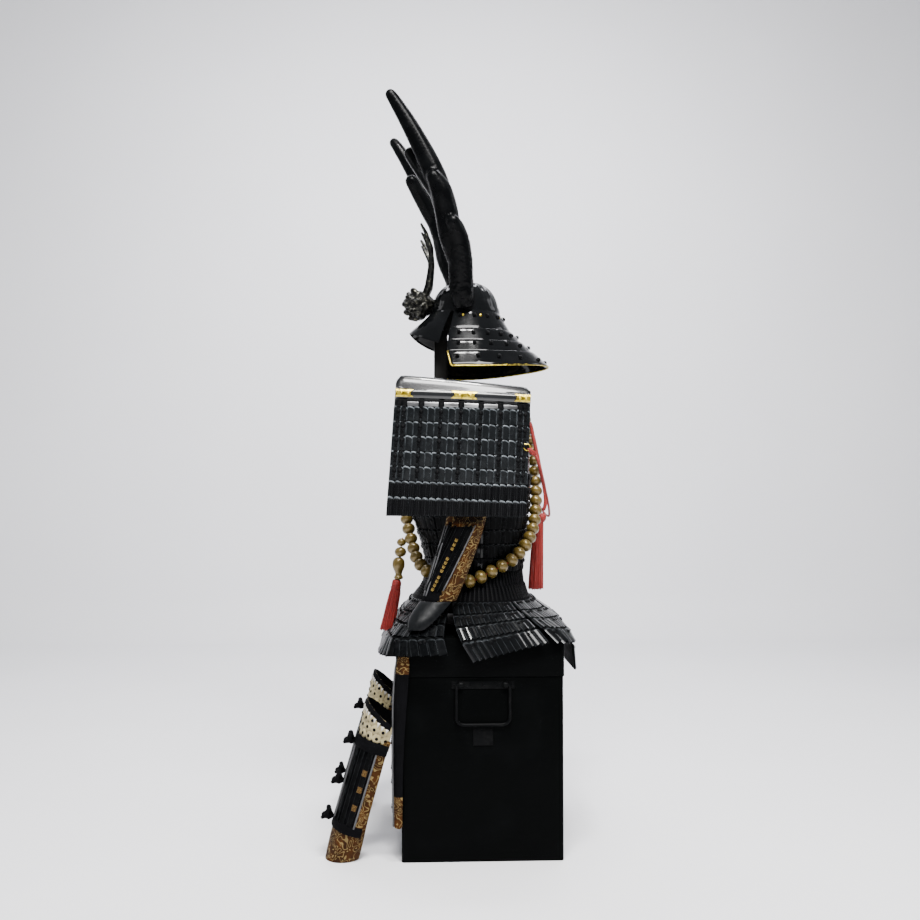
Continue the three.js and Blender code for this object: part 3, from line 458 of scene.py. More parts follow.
def iron():
    """Blackened iron with a hammered skin."""
    finish = Finish("blackened_iron", Metallic=0.1, Specular_IOR_Level=0.035)
    wear = finish.group(wear_group(), Vector=finish.place, Clean=0.3, Worn=0.55, Marks=60.0)
    finish.set("Base Color", finish.mix(wear.outputs["Dust"], (0.0022, 0.0024, 0.0026, 1),
        (0.006, 0.006, 0.006, 1)))
    finish.set("Roughness", wear.outputs["Roughness"])
    finish.relief(wear.outputs["Height"], 0.25, 0.0008)
    return finish.material


def carving():
    """Dark silvered carving, rubbed to pale silver in scattered patches."""
    finish = Finish("carved_silver", Metallic=0.75)
    rub = finish.clouds(finish.place, 120.0, 6.0)
    finish.set("Base Color", finish.ramp(rub, [(0.42, (0.003, 0.003, 0.0028)), (0.6, (0.022, 0.022, 0.018)),
        (0.76, (0.22, 0.21, 0.16))]))
    finish.roughen(rub, 0.3, 0.18)
    finish.relief(rub, 0.5, 0.001)
    return finish.material


def chest_lacquer():
    """Satin black lacquer over vertical boards."""
    finish = Finish("chest_lacquer", Specular_IOR_Level=0.022)
    wear = finish.group(wear_group(), Vector=finish.place, Clean=0.42, Worn=0.6, Marks=9.0)
    stretch = finish.add("Mapping", {"Vector": finish.place, "Scale": (60.0, 60.0, 2.5)})
    grain = finish.clouds(stretch.outputs["Vector"], 1.0, 5.0)
    finish.set("Base Color", finish.mix(wear.outputs["Dust"], (0.0008, 0.001, 0.001, 1),
        (0.0016, 0.0019, 0.002, 1)))
    finish.set("Roughness", wear.outputs["Roughness"])
    finish.relief(grain, 0.12, 0.001)
    return finish.material


FINISHES = {}


def finish_named(name):
    """Materials are made when first asked for, from the colours in the panel."""
    if name in FINISHES:
        return FINISHES[name]
    black = tuple(colours().lacquer)
    red = tuple(colours().silk)
    ground = tuple(colours().brocade)
    makers = {
        # The scale finishes differ in the strength of their painted highlights along edges and heads.
        "scale": lambda: scale_lacquer("scale_lacquer", (0.0026, 0.0034, 0.0040), 0.20, 0.62, 0.24, 0.1,
            0.18, 0.34),
        "skirt_scale": lambda: scale_lacquer("skirt_scale_lacquer", tint(black, 0.6), 0.10, 0.14, 0.15,
            0.05, 0.1, 0.22),
        "front_scale": lambda: scale_lacquer("front_scale_lacquer", tint(black, 0.6), 0.08, 0.12, 0.05, 0.0,
            0.2, 0.36),
        # Painted shade: body_scale is a darker copy of the scale lacquer with weaker painted highlights,
        # used on the cuirass and the splints.
        "body_scale": lambda: scale_lacquer("body_scale_lacquer", tint(black, 0.25), 0.045, 0.07, 0.035,
            0.0, 0.25, 0.45),
        "steel": steel,
        "plate": lambda: lacquer("plate_lacquer", tint(black, 0.5), 0.06, 0.17, 0.03, coat=0.1, marks=14.0,
            shine=0.16),
        "cap": lambda: lacquer("cap_lacquer", black, 0.22, 0.27, 0.02, coat=0.6, marks=9.0, shine=0.5),
        "lining": lambda: lacquer("lining_leather", tint(black, 0.4), 0.6, 0.75, 0.3, marks=60.0,
            shine=0.03),
        "hand": lambda: lacquer("hand_lacquer", tint(black, 0.9), 0.34, 0.5, 0.4, marks=120.0, shine=0.1),
        "antler": lambda: lacquer("antler_lacquer", tint(black, 0.3), 0.2, 0.36, 0.5, coat=0.03, marks=26.0,
            speckle=150.0, shine=0.05),
        "chest": chest_lacquer,
        "iron": iron,
        "gilt": gilt,
        "stand": lambda: lacquer("stand_black", (0.004, 0.0038, 0.0035), 0.4, 0.6, 0.2, marks=12.0,
            shine=0.06),
        "lacing": lambda: silk("black_lacing", (0.0024, 0.0025, 0.003), 300.0, 0.4, sheen=0.0, shine=0.055),
        "red_cord": lambda: silk("red_cord", red, 230.0, 0.5, sheen=0.1),
        "red_floss": lambda: floss("red_floss", red),
        "bead": bead_wood,
        "brocade": lambda: brocade("brown_brocade", ground, (0.21, 0.143, 0.052)),
        "patch": lambda: brocade("border_brocade", tint(ground, 0.9), (0.28, 0.175, 0.055), motif=95.0,
            density=0.5),
        "cream": lambda: cloth("cream_cloth", tuple(colours().cream), 900.0),
        "black_cloth": lambda: cloth("black_cloth", (0.0022, 0.0022, 0.0028), 1100.0, 0.8, sheen=0.0,
            shine=0.04),
        "grey_cord": lambda: silk("grey_piping", (0.075, 0.076, 0.08), 260.0, 0.5, sheen=0.05),
        "carving": carving,
        "gilt_thread": lambda: brocade("gilt_weave", (0.06, 0.03, 0.006), (0.42, 0.29, 0.07), motif=190.0,
            density=0.62),
        "white_trim": lambda: cloth("white_trim", (0.62, 0.60, 0.56), 1500.0),
    }
    FINISHES[name] = makers[name]()
    return FINISHES[name]


# Modelling tools

def clear_selection():
    if bpy.context.object and bpy.context.object.mode != "OBJECT":
        bpy.ops.object.mode_set(mode="OBJECT")
    bpy.ops.object.select_all(action="DESELECT")


def activate(obj):
    clear_selection()
    obj.select_set(True)
    bpy.context.view_layer.objects.active = obj


def primitive(kind, name, **place):
    """A primitive to shape further, with its size and place in its mesh."""
    clear_selection()
    getattr(bpy.ops.mesh, f"primitive_{kind}_add")(**place)
    obj = bpy.context.object
    obj.name = name
    bpy.ops.object.transform_apply(location=True, rotation=True, scale=True)
    return obj


def shape(obj, kind, test, action):
    """Selects points, edges or faces by a test of their place, and acts on them in edit mode."""
    activate(obj)
    mesh = obj.data
    bpy.ops.object.mode_set(mode="EDIT")
    bpy.ops.mesh.select_mode(type=kind)
    bpy.ops.mesh.select_all(action="DESELECT")
    bpy.ops.object.mode_set(mode="OBJECT")
    if kind == "VERT":
        for vertex in mesh.vertices:
            vertex.select = test(vertex.co)
    elif kind == "EDGE":
        for edge in mesh.edges:
            a, b = (mesh.vertices[i].co for i in edge.vertices)
            edge.select = test((a + b) / 2, (b - a).normalized())
    else:
        for face in mesh.polygons:
            face.select = test(face.center, face.normal)
    bpy.ops.object.mode_set(mode="EDIT")
    action()
    bpy.ops.object.mode_set(mode="OBJECT")


def bevel(amount, segments=2):
    return lambda: bpy.ops.mesh.bevel(offset=amount, segments=segments, affect="EDGES")


def modify(obj, kind, **settings):
    """Adds a modifier and applies it."""
    activate(obj)
    modifier = obj.modifiers.new(kind.title(), kind)
    for key, value in settings.items():
        setattr(modifier, key, value)
    bpy.ops.object.modifier_apply(modifier=modifier.name)
    return obj


def smooth(obj, angle=radians(40)):
    activate(obj)
    bpy.ops.object.shade_smooth_by_angle(angle=angle)
    return obj


def outward(obj):
    activate(obj)
    bpy.ops.object.mode_set(mode="EDIT")
    bpy.ops.mesh.select_all(action="SELECT")
    bpy.ops.mesh.remove_doubles(threshold=1e-5)
    bpy.ops.mesh.normals_make_consistent(inside=False)
    bpy.ops.object.mode_set(mode="OBJECT")
    return obj


def finished(obj, finish, slot, body=SUIT, replaces=()):
    """Gives a piece its material and its body. Its slot is not used."""
    if not obj.data.materials:
        obj.data.materials.append(finish_named(finish))
    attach(obj, body)
    if replaces:
        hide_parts(*replaces)
    return obj


def mesh_of(name, work):
    mesh = bpy.data.meshes.new(name)
    work.to_mesh(mesh)
    work.free()
    return mesh


def new_object(name, mesh):
    obj = bpy.data.objects.new(name, mesh)
    bpy.context.scene.collection.objects.link(obj)
    return obj


def set_out(name, unit, places, finish):
    """Copies of a modelled unit, one at each place, gathered in one piece."""
    whole = bmesh.new()
    for place in places:
        copy = unit.data.copy()
        copy.transform(place)
        whole.from_mesh(copy)
        bpy.data.meshes.remove(copy)
    mesh = mesh_of(name, whole)
    mesh.materials.clear()
    mesh.materials.append(finish_named(finish))
    return new_object(name, mesh)


def laid_out(name, unit, places, finish, slot, **told):
    """Copies of a unit, finished as one piece."""
    return finished(set_out(name, unit, places, finish), finish, slot, **told)


def refinish(node, finish):
    """Gives a CAD node that stays in view its finish."""
    materials = NODES[node].data.materials
    materials.clear()
    materials.append(finish_named(finish))


def gather(name, pieces):
    """Joins separate pieces into one."""
    clear_selection()
    for piece in pieces:
        piece.select_set(True)
    bpy.context.view_layer.objects.active = pieces[0]
    bpy.ops.object.join()
    whole = pieces[0]
    whole.name = name
    whole.data.materials.clear()
    for face in whole.data.polygons:
        face.material_index = 0
    return whole


def from_node(node, name, quads=True):
    """A merged copy of a CAD node's mesh, with its triangles paired into quads."""
    mesh = NODES[node].data.copy()
    obj = new_object(name, mesh)
    mesh.materials.clear()
    activate(obj)
    bpy.ops.object.mode_set(mode="EDIT")
    bpy.ops.mesh.select_all(action="SELECT")
    bpy.ops.mesh.remove_doubles(threshold=1e-5)
    if quads:
        bpy.ops.mesh.tris_convert_to_quads(face_threshold=radians(50), shape_threshold=radians(60))
    bpy.ops.object.mode_set(mode="OBJECT")
    if "custom_normal" in mesh.attributes:
        mesh.attributes.remove(mesh.attributes["custom_normal"])
    return obj


def soft_copy(node, name, levels=2, crease=0.85):
    """A CAD wall made smooth by subdivision, its rims kept crisp."""
    obj = from_node(node, name)
    mesh = obj.data
    work = bmesh.new()
    work.from_mesh(mesh)
    layer = work.edges.layers.float.get("crease_edge") or work.edges.layers.float.new("crease_edge")
    for edge in work.edges:
        if len(edge.link_faces) == 2 and edge.calc_face_angle(0) > radians(55):
            edge[layer] = crease
    work.to_mesh(mesh)
    work.free()
    modify(obj, "SUBSURF", levels=levels, render_levels=levels)
    return smooth(obj, radians(50))


def crisp_copy(node, name, edge=0.0015):
    """A CAD solid with its sharp edges softened."""
    obj = from_node(node, name, quads=False)
    activate(obj)
    bpy.ops.object.mode_set(mode="EDIT")
    bpy.ops.mesh.select_all(action="SELECT")
    bpy.ops.mesh.dissolve_limited(angle_limit=radians(1))
    bpy.ops.object.mode_set(mode="OBJECT")
    modify(obj, "BEVEL", width=edge, segments=2, limit_method="ANGLE", angle_limit=radians(50),
        use_clamp_overlap=True)
    return smooth(obj, radians(35))


def lay_map(obj, measure, period=None):
    """Writes a flat map in metres. measure gives the place of a point on the cut. With a period, faces that
    cross the seam of a tube are kept whole."""
    mesh = obj.data
    layer = mesh.uv_layers.get("cut") or mesh.uv_layers.new(name="cut")
    flat = [measure(vertex.co) for vertex in mesh.vertices]
    for face in mesh.polygons:
        first = flat[mesh.loops[face.loop_start].vertex_index][0]
        for index in face.loop_indices:
            u, v = flat[mesh.loops[index].vertex_index]
            if period:
                while u - first > period / 2:
                    u -= period
                while first - u > period / 2:
                    u += period
            layer.data[index].uv = (u, v)
    mesh.uv_layers.active = layer
    layer.active_render = True
    return obj


def tube(name, path, radius, sides=8, loop=False):
    """A round cord or rod along a path, with a map that runs round it and along it in metres. radius is one
    number or one for each point."""
    points = [Vector(p) for p in path]
    count = len(points)
    radii = radius if hasattr(radius, "__len__") else [radius] * count
    work = bmesh.new()
    layer = work.loops.layers.uv.new("cut")
    rings, runs, run = [], [], 0.0
    side = None
    for i, centre in enumerate(points):
        before = points[(i - 1) % count] if loop else points[max(i - 1, 0)]
        after = points[(i + 1) % count] if loop else points[min(i + 1, count - 1)]
        along = (after - before).normalized()
        if side is None:
            side = Vector((1, 0, 0)) if abs(along.x) < 0.8 else Vector((0, 1, 0))
        side = (side - along * side.dot(along)).normalized()
        up = along.cross(side)
        if i:
            run += (centre - points[i - 1]).length
        runs.append(run)
        rings.append([work.verts.new(centre + side * (radii[i] * cos(tau * j / sides)) + up
            * (radii[i] * sin(tau * j / sides))) for j in range(sides)])
    spans = count if loop else count - 1
    for i in range(spans):
        k = (i + 1) % count
        end = runs[k] if k else run + (points[0] - points[-1]).length
        for j in range(sides):
            n = (j + 1) % sides
            face = work.faces.new((rings[i][j], rings[i][n], rings[k][n], rings[k][j]))
            for corner, uv in zip(face.loops, ((j, runs[i]), (j + 1, runs[i]), (j + 1, end), (j, end))):
                corner[layer].uv = (uv[0] / sides, uv[1])
    if not loop:
        work.faces.new(list(reversed(rings[0])))
        work.faces.new(rings[-1])
    bmesh.ops.recalc_face_normals(work, faces=work.faces)
    for face in work.faces:
        face.smooth = len(face.verts) == 4
    mesh = mesh_of(name, work)
    return new_object(name, mesh)


def sheet(name, rows, thickness, levels=1, closed=False):
    """A sheet through rows of points, given its thickness inwards and mapped in metres along and across."""
    work = bmesh.new()
    layer = work.loops.layers.uv.new("cut")
    grid = [[work.verts.new(Vector(p)) for p in row] for row in rows]
    across = len(rows[0])
    middle = rows[len(rows) // 2]
    us, total = [0.0], 0.0
    for j in range(1, across):
        total += (Vector(middle[j]) - Vector(middle[j - 1])).length
        us.append(total)
    vs, total = [0.0], 0.0
    for i in range(1, len(rows)):
        total += (Vector(rows[i][across // 2]) - Vector(rows[i - 1][across // 2])).length
        vs.append(total)
    for i in range(len(rows) - 1):
        for j in range(across - 1 + closed):
            n = (j + 1) % across
            far = us[j] + (us[1] - us[0]) if n == 0 else us[n]
            face = work.faces.new((grid[i][j], grid[i + 1][j], grid[i + 1][n], grid[i][n]))
            for corner, uv in zip(face.loops, ((us[j], vs[i]), (us[j], vs[i + 1]), (far, vs[i + 1]),
                (far, vs[i]))):
                corner[layer].uv = uv
    mesh = mesh_of(name, work)
    obj = new_object(name, mesh)
    if levels:
        modify(obj, "SUBSURF", levels=levels, render_levels=levels, boundary_smooth="PRESERVE_CORNERS")
    modify(obj, "SOLIDIFY", thickness=thickness, offset=-1.0)
    return smooth(obj, radians(50))


def strap(name, spots, width, thickness, lacquered=False):
    """A flat strip along places with their facings, with eased edges, standing off that side. Its map is in
    metres, or on lacquered strips from edge to edge, as on the scales."""
    points = [Vector(place) for place, _ in spots]
    section = [(-0.5, 0.0), (-0.5, 0.55), (-0.36, 1.0), (0.36, 1.0), (0.5, 0.55), (0.5, 0.0)]
    work = bmesh.new()
    layer = work.loops.layers.uv.new("cut")
    rings, runs, run = [], [], 0.0
    for i, centre in enumerate(points):
        along = (points[min(i + 1, len(points) - 1)] - points[max(i - 1, 0)]).normalized()
        facing = Vector(spots[i][1])
        facing = (facing - along * facing.dot(along)).normalized()
        across = along.cross(facing)
        if i:
            run += (centre - points[i - 1]).length
        runs.append(run)
        rings.append([work.verts.new(centre + across * (x * width) + facing * (y * thickness)) for x,
            y in section])
    count = len(section)
    for i in range(len(points) - 1):
        for j in range(count):
            n = (j + 1) % count
            face = work.faces.new((rings[i][j], rings[i][n], rings[i + 1][n], rings[i + 1][j]))
            corners = ((section[j][0], runs[i]), (section[n][0], runs[i]), (section[n][0], runs[i + 1]),
                (section[j][0], runs[i + 1]))
            for corner, (x, y) in zip(face.loops, corners):
                corner[layer].uv = (x if lacquered else x * width, y / runs[-1] * 0.8 - 0.4 if lacquered
                    else y)
    work.faces.new(list(reversed(rings[0])))
    work.faces.new(rings[-1])
    bmesh.ops.recalc_face_normals(work, faces=work.faces)
    mesh = mesh_of(name, work)
    return smooth(new_object(name, mesh), radians(38))


def between(table, height):
    """The values of a table of rings at a height between two of its lines."""
    lines = sorted(table)
    height = min(max(height, lines[0][0]), lines[-1][0])
    for low, high in zip(lines, lines[1:]):
        if height <= high[0]:
            share = (height - low[0]) / (high[0] - low[0])
            return [a + (b - a) * share for a, b in zip(low[1:], high[1:])]
    return list(lines[-1][1:])


def arm_place(sign, z, share, lift=0.0):
    """A place on the outer half of a sleeve. share runs from -1 at the front edge to 1 at the back edge."""
    x, y, across, back = between(ARM, z)
    side = sqrt(max(0.0, 1 - share * share))
    facing = Vector((sign * side, share, 0))
    return Vector((sign * (x + (across + lift) * side), y + (back + lift) * share, z)), facing


def shin_matrix(sign):
    return Matrix.Translation((sign * SHIN_FOOT[0], SHIN_FOOT[1], 0)) @ Matrix.Rotation(SHIN_LEAN, 4, "X")


def shin_place(sign, height, angle, lift=0.0):
    """A place on a shin guard. angle is in degrees from the front round to the outer side."""
    across, back = between(SHIN, height)
    turn = radians(angle)
    lean = shin_matrix(sign)
    place = Vector((sign * (across + lift) * sin(turn), -(back + lift) * cos(turn), height))
    facing = lean.to_3x3() @ Vector((sign * sin(turn), -cos(turn), 0))
    return lean @ place, facing


def two_finishes(obj, first, second, test):
    """Gives the faces that pass a test of their middle and facing the second finish."""
    mesh = obj.data
    mesh.materials.clear()
    mesh.materials.append(finish_named(first))
    mesh.materials.append(finish_named(second))
    for face in mesh.polygons:
        face.material_index = 1 if test(face.center, face.normal) else 0
    return obj


@cache
def skin(node):
    """A search tree over a CAD node's faces."""
    mesh = NODES[node].data
    return BVHTree.FromPolygons([v.co for v in mesh.vertices], [tuple(f.vertices) for f in mesh.polygons])


def outermost(node, centre, direction):
    """The last place where a ray from a centre leaves a node, and the way its surface faces there."""
    start = centre + direction * 2.0
    place, facing, _, _ = skin(node).ray_cast(start, -direction, 2.0)
    if place is None:
        return None
    if facing.dot(direction) < 0:
        facing = -facing
    return place, facing


def around(angle):
    """The level direction at an angle from the front towards the armour's left, in degrees."""
    turn = radians(angle)
    return Vector((sin(turn), -cos(turn), 0))


def stand_at(place, facing, up, lift=0.0, turn=0.0, stretch=(1, 1, 1)):
    """Where a unit goes: its back on the place, its face to the facing side, its top towards up."""
    facing = facing.normalized()
    upright = (up - facing * up.dot(facing)).normalized()
    across = upright.cross(facing)
    matrix = Matrix((across, -facing, upright)).transposed().to_4x4()
    matrix.translation = place + facing * lift
    return matrix @ Matrix.Rotation(turn, 4, "Z") @ Matrix.Diagonal((*stretch, 1))


def along_path(points, steps, loop=False):
    """Evenly spaced places along a smooth curve through points."""
    pts = [Vector(p) for p in points]
    count = len(pts)
    fine = []
    for i in range(count if loop else count - 1):
        if loop:
            a, b, c, d = (pts[(i + k) % count] for k in (-1, 0, 1, 2))
        else:
            b, c = pts[i], pts[i + 1]
            a = pts[i - 1] if i else b * 2 - c
            d = pts[i + 2] if i + 2 < count else c * 2 - b
        for k in range(16):
            t = k / 16
            fine.append(0.5 * (2 * b + (c - a) * t + (2 * a - 5 * b + 4 * c - d) * t * t
                + (3 * b - a - 3 * c + d) * t ** 3))
    fine.append(pts[0] if loop else pts[-1])
    run = [0.0]
    for i in range(1, len(fine)):
        run.append(run[-1] + (fine[i] - fine[i - 1]).length)
    out, k = [], 0
    for step in range(steps + (0 if loop else 1)):
        goal = run[-1] * step / steps
        while k < len(run) - 2 and run[k + 1] < goal:
            k += 1
        span = run[k + 1] - run[k]
        out.append(fine[k].lerp(fine[k + 1], (goal - run[k]) / span if span else 0))
    return out, run[-1]


# Units that repeat over the armour

UNITS = {}


def kept_unit(name, make):
    """A unit is modelled once, kept out of the scene, and copied from there."""
    if name not in UNITS:
        obj = make()
        mesh = obj.data
        bpy.context.scene.collection.objects.unlink(obj)
        UNITS[name] = obj
        mesh.name = "unit_" + name
    return UNITS[name]


def scale_unit():
    """One lacquered scale, a unit wide and a unit high, bowed across, with a slanted rounded head."""
    def make():
        wide, high, deep = 1.02, 1.0, 0.1
        obj = primitive("cube", "scale", size=1, scale=(wide, deep, high), location=(0, -deep / 2, 0))
        shape(obj, "EDGE", lambda mid, way: abs(way.x) > 0.9, lambda: bpy.ops.mesh.subdivide(number_cuts=3))
        lay_map(obj, lambda p: (p.x / wide, p.z))
        for vertex in obj.data.vertices:
            across = 2 * vertex.co.x / wide
            if vertex.co.y < -deep / 2:
                vertex.co.y -= 0.105 * (1 - across * across)
            if vertex.co.z > 0:
                vertex.co.z -= 0.05 * across + 0.07 * across ** 4
                if vertex.co.y < -deep / 2:
                    vertex.co.z -= 0.045
        return smooth(obj, radians(34))
    return kept_unit("scale", make)


def braid_unit():
    """A short length of flat braid, a unit wide and a unit long, rounded at both ends."""
    def make():
        obj = primitive("cube", "braid", size=1, scale=(1, 0.5, 1), location=(0, -0.25, 0))
        shape(obj, "EDGE", lambda mid, way: abs(way.z) > 0.9 and mid.y < -0.2, bevel(0.3, 2))
        shape(obj, "EDGE", lambda mid, way: abs(way.z) < 0.5 and abs(mid.z) > 0.45 and mid.y < -0.1,
            bevel(0.08, 1))
        lay_map(obj, lambda p: (p.x * 0.25, p.z * 0.02))
        return smooth(obj, radians(60))
    return kept_unit("braid", make)


def dome_unit(name="dome", rings=5, segments=10):
    """A low dome of unit radius, closed underneath: a stud, rivet or knot."""
    def make():
        obj = primitive("uv_sphere", name, segments=segments, ring_count=rings * 2, radius=1)
        shape(obj, "VERT", lambda p: p.z < -0.02, lambda: bpy.ops.mesh.delete(type="VERT"))
        shape(obj, "EDGE", lambda mid, way: mid.z < 0.02, lambda: bpy.ops.mesh.edge_face_add())
        obj.data.transform(Matrix.Rotation(radians(90), 4, "X"))
        lay_map(obj, lambda p: (atan2(p.x, p.z) / tau, hypot(p.x, p.z) * 0.004))
        return smooth(outward(obj), radians(60))
    return kept_unit(name, make)


def hexagon_unit():
    """One puffed quilted hexagon of unit width."""
    def make():
        obj = primitive("cylinder", "hexagon", vertices=6, radius=0.577, depth=0.08, location=(0, 0, 0.02),
            end_fill_type="NGON")
        shape(obj, "FACE", lambda mid, way: way.z > 0.9, lambda: bpy.ops.mesh.inset(thickness=0.1,
            depth=0.13))
        shape(obj, "FACE", lambda mid, way: way.z > 0.9 and mid.z > 0.15,
            lambda: bpy.ops.mesh.inset(thickness=0.17, depth=0.06))
        obj.data.transform(Matrix.Rotation(radians(90), 4, "X") @ Matrix.Rotation(radians(30), 4, "Z"))
        lay_map(obj, lambda p: (p.x * 0.02, p.z * 0.02))
        return smooth(outward(obj), radians(75))
    return kept_unit("hexagon", make)


def tooth_unit():
    """One folded white point of the knee guard's border."""
    def make():
        obj = primitive("cone", "tooth", vertices=3, radius1=0.7, radius2=0.3, depth=0.3,
            location=(0, 0, 0.12))
        shape(obj, "FACE", lambda mid, way: way.z > 0.9, lambda: bpy.ops.mesh.inset(thickness=0.08,
            depth=0.05))
        obj.data.transform(Matrix.Rotation(radians(90), 4, "X") @ Matrix.Rotation(radians(180), 4, "Z"))
        lay_map(obj, lambda p: (p.x * 0.01, p.z * 0.01))
        return smooth(outward(obj), radians(30))
    return kept_unit("tooth", make)


def ring_unit():
    """One small mail ring of unit radius, lying against its cloth."""
    def make():
        obj = primitive("torus", "ring", major_radius=0.8, minor_radius=0.22, major_segments=10,
            minor_segments=5)
        shape(obj, "VERT", lambda p: p.x > 0, lambda: bpy.ops.transform.translate(value=(0, 0, 0.18)))
        obj.data.transform(Matrix.Rotation(radians(90), 4, "X"))
        return smooth(outward(obj), radians(60))
    return kept_unit("ring", make)


def cross_knot(place, facing, up, width, length, lift):
    """The places of two braids that cross, as lacing does where it enters a scale."""
    out = []
    for lean in (-0.62, 0.62):
        tilt = Matrix.Rotation(lean, 3, facing)
        out.append(stand_at(place, facing, tilt @ up, lift + (0.0006 if lean > 0 else 0.0),
            stretch=(width, width * 1.1, length)))
    return out


def row_of_scales(spans, width, thickness, slant):
    """Scale places along a row. spans is a list of (top place, low place, facing)."""
    out = []
    for top, low, facing in spans:
        up = top - low
        out.append(stand_at((top + low) / 2, facing, up, thickness * 0.1, slant, (width, width, up.length)))
    return out


# Operators

class SetStage(bpy.types.Operator):
    """Places the camera, the soft lights, the pale floor and the backdrop."""

    bl_idname = "armour.stage"
    bl_label = "Stage"

    def execute(self, context):
        scene = bpy.context.scene
        camera = bpy.data.cameras.new("camera")
        camera.lens = 39.23
        camera.sensor_width = 36
        camera.clip_end = 60
        view = bpy.data.objects.new("camera", camera)
        scene.collection.objects.link(view)
        view.location = (2.741, -0.157, 0.91)
        turn, pitch = radians(2.3), radians(1.8)
        way = Vector((-cos(turn) * cos(pitch), sin(turn) * cos(pitch), sin(pitch)))
        view.rotation_euler = way.to_track_quat("-Z", "Y").to_euler()
        scene.camera = view

        floor = primitive("grid", "floor", x_subdivisions=8, y_subdivisions=8, size=14,
            location=(0, 0, -0.0005))
        paint = Finish("room_paint", Roughness=0.6)
        cloud = paint.clouds(paint.place, 1.3, 3.0)
        wall = tuple(colours().wall)
        paint.set("Base Color", paint.ramp(cloud, [(0.3, tint(wall, 0.97)), (0.7, wall)]))
        paint.relief(cloud, 0.02, 0.01)
        floor.data.materials.append(paint.material)
        sweep = primitive("plane", "backdrop", size=14, location=(-7, 0, -0.002))
        shape(sweep, "EDGE", lambda mid, way: mid.x < -13.9,
            lambda: bpy.ops.mesh.extrude_region_move(TRANSFORM_OT_translate={"value": (0, 0, 8)}))
        shape(sweep, "VERT", lambda p: True, lambda: bpy.ops.transform.translate(value=(10.4, 0, 0)))
        sweep.data.materials.append(paint.material)
        shape(sweep, "EDGE", lambda mid, way: abs(way.y) > 0.9 and mid.z < 0.1 and mid.x < -2,
            bevel(0.3, 8))
        smooth(sweep, radians(40))

        world = bpy.data.worlds.new("room")
        world.use_nodes = True
        world.node_tree.nodes["Background"].inputs["Color"].default_value = (0.88, 0.89, 0.93, 1)
        world.node_tree.nodes["Background"].inputs["Strength"].default_value = 0.42
        scene.world = world
        for name, place, aim, size, tall, power, hue in (
                ("wall_wash", (-1.1, 0, 3.7), (-3.5, 0, 0.6), 3.0, 0.7, 150, (0.96, 0.96, 1)),
                ("spot_front", (1.1, -0.17, 3.3), (0, 0, 0.7), 0.3, 0.3, 60, (1, 0.99, 0.97)),
                ("spot_rear", (1.1, 0.27, 3.3), (0, 0, 0.7), 0.3, 0.3, 60, (1, 0.99, 0.97)),
                ("floor_fill", (2.6, 0.2, 3.6), (0.9, 0, 0), 2.6, 0.8, 300, (1, 0.99, 0.98)),
                ("front", (-0.2, -3.2, 2.6), (0, 0, 0.8), 1.2, 1.2, 12, (0.97, 0.98, 1)),
                ("rear", (-0.6, 3.2, 2.8), (0, 0, 0.8), 1.4, 1.4, 20, (0.95, 0.97, 1))):
            data = bpy.data.lights.new(name, "AREA")
            data.energy = power
            data.shape = "RECTANGLE"
            data.size = size
            data.size_y = tall
            data.color = hue
            lamp = bpy.data.objects.new(name, data)
            scene.collection.objects.link(lamp)
            lamp.location = place
            lamp.rotation_euler = (Vector(aim) - Vector(place)).to_track_quat("-Z", "Y").to_euler()
        return {"FINISHED"}


class BuildCords(bpy.types.Operator):
    """Braided silk cords: down the back to the bow, and from the shoulder guards' rings to it."""

    bl_idname = "armour.cords"
    bl_label = "Cords"

    def execute(self, context):
        back = [(0, 0.1425, 1.101), (0, 0.147, 1.088), (0, 0.153, 1.060), (0, 0.162, 1.020),
            (0, 0.172, 0.970), (0, 0.182, 0.925), (0, 0.1865, 0.890), (0, 0.185, 0.872), (0, 0.180, 0.858)]
        strands = []
        for k, (dx, dy) in enumerate(((-0.0042, 0.0), (0.0042, 0.0), (0.0, 0.0036))):
            path, length = along_path([(x + dx, y + dy, z) for x, y, z in back], 40)
            strands.append(tube(f"strand_{k}", path, 0.0033, 8))
        path, length = along_path(back, 30)
        bundle = gather("back_cords", strands)
        finished(bundle, "red_cord", "red_silk", replaces=["back_cord"])

        left = [(0.266, 0.1165, 1.018), (0.252, 0.1285, 1.004), (0.238, 0.1395, 0.984),
            (0.19, 0.160, 0.930), (0.12, 0.180, 0.878), (0.055, 0.191, 0.850), (0.012, 0.1945, 0.8435)]
        right = [(-x, y, z) for x, y, z in reversed(left)]
        route = left + right
        path, length = along_path(route, 90)
        cord = tube("ring_cords", path, 0.0032, 8)
        finished(cord, "red_cord", "red_silk", replaces=["shoulder_cord"])
        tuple(route[0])
        return {"FINISHED"}


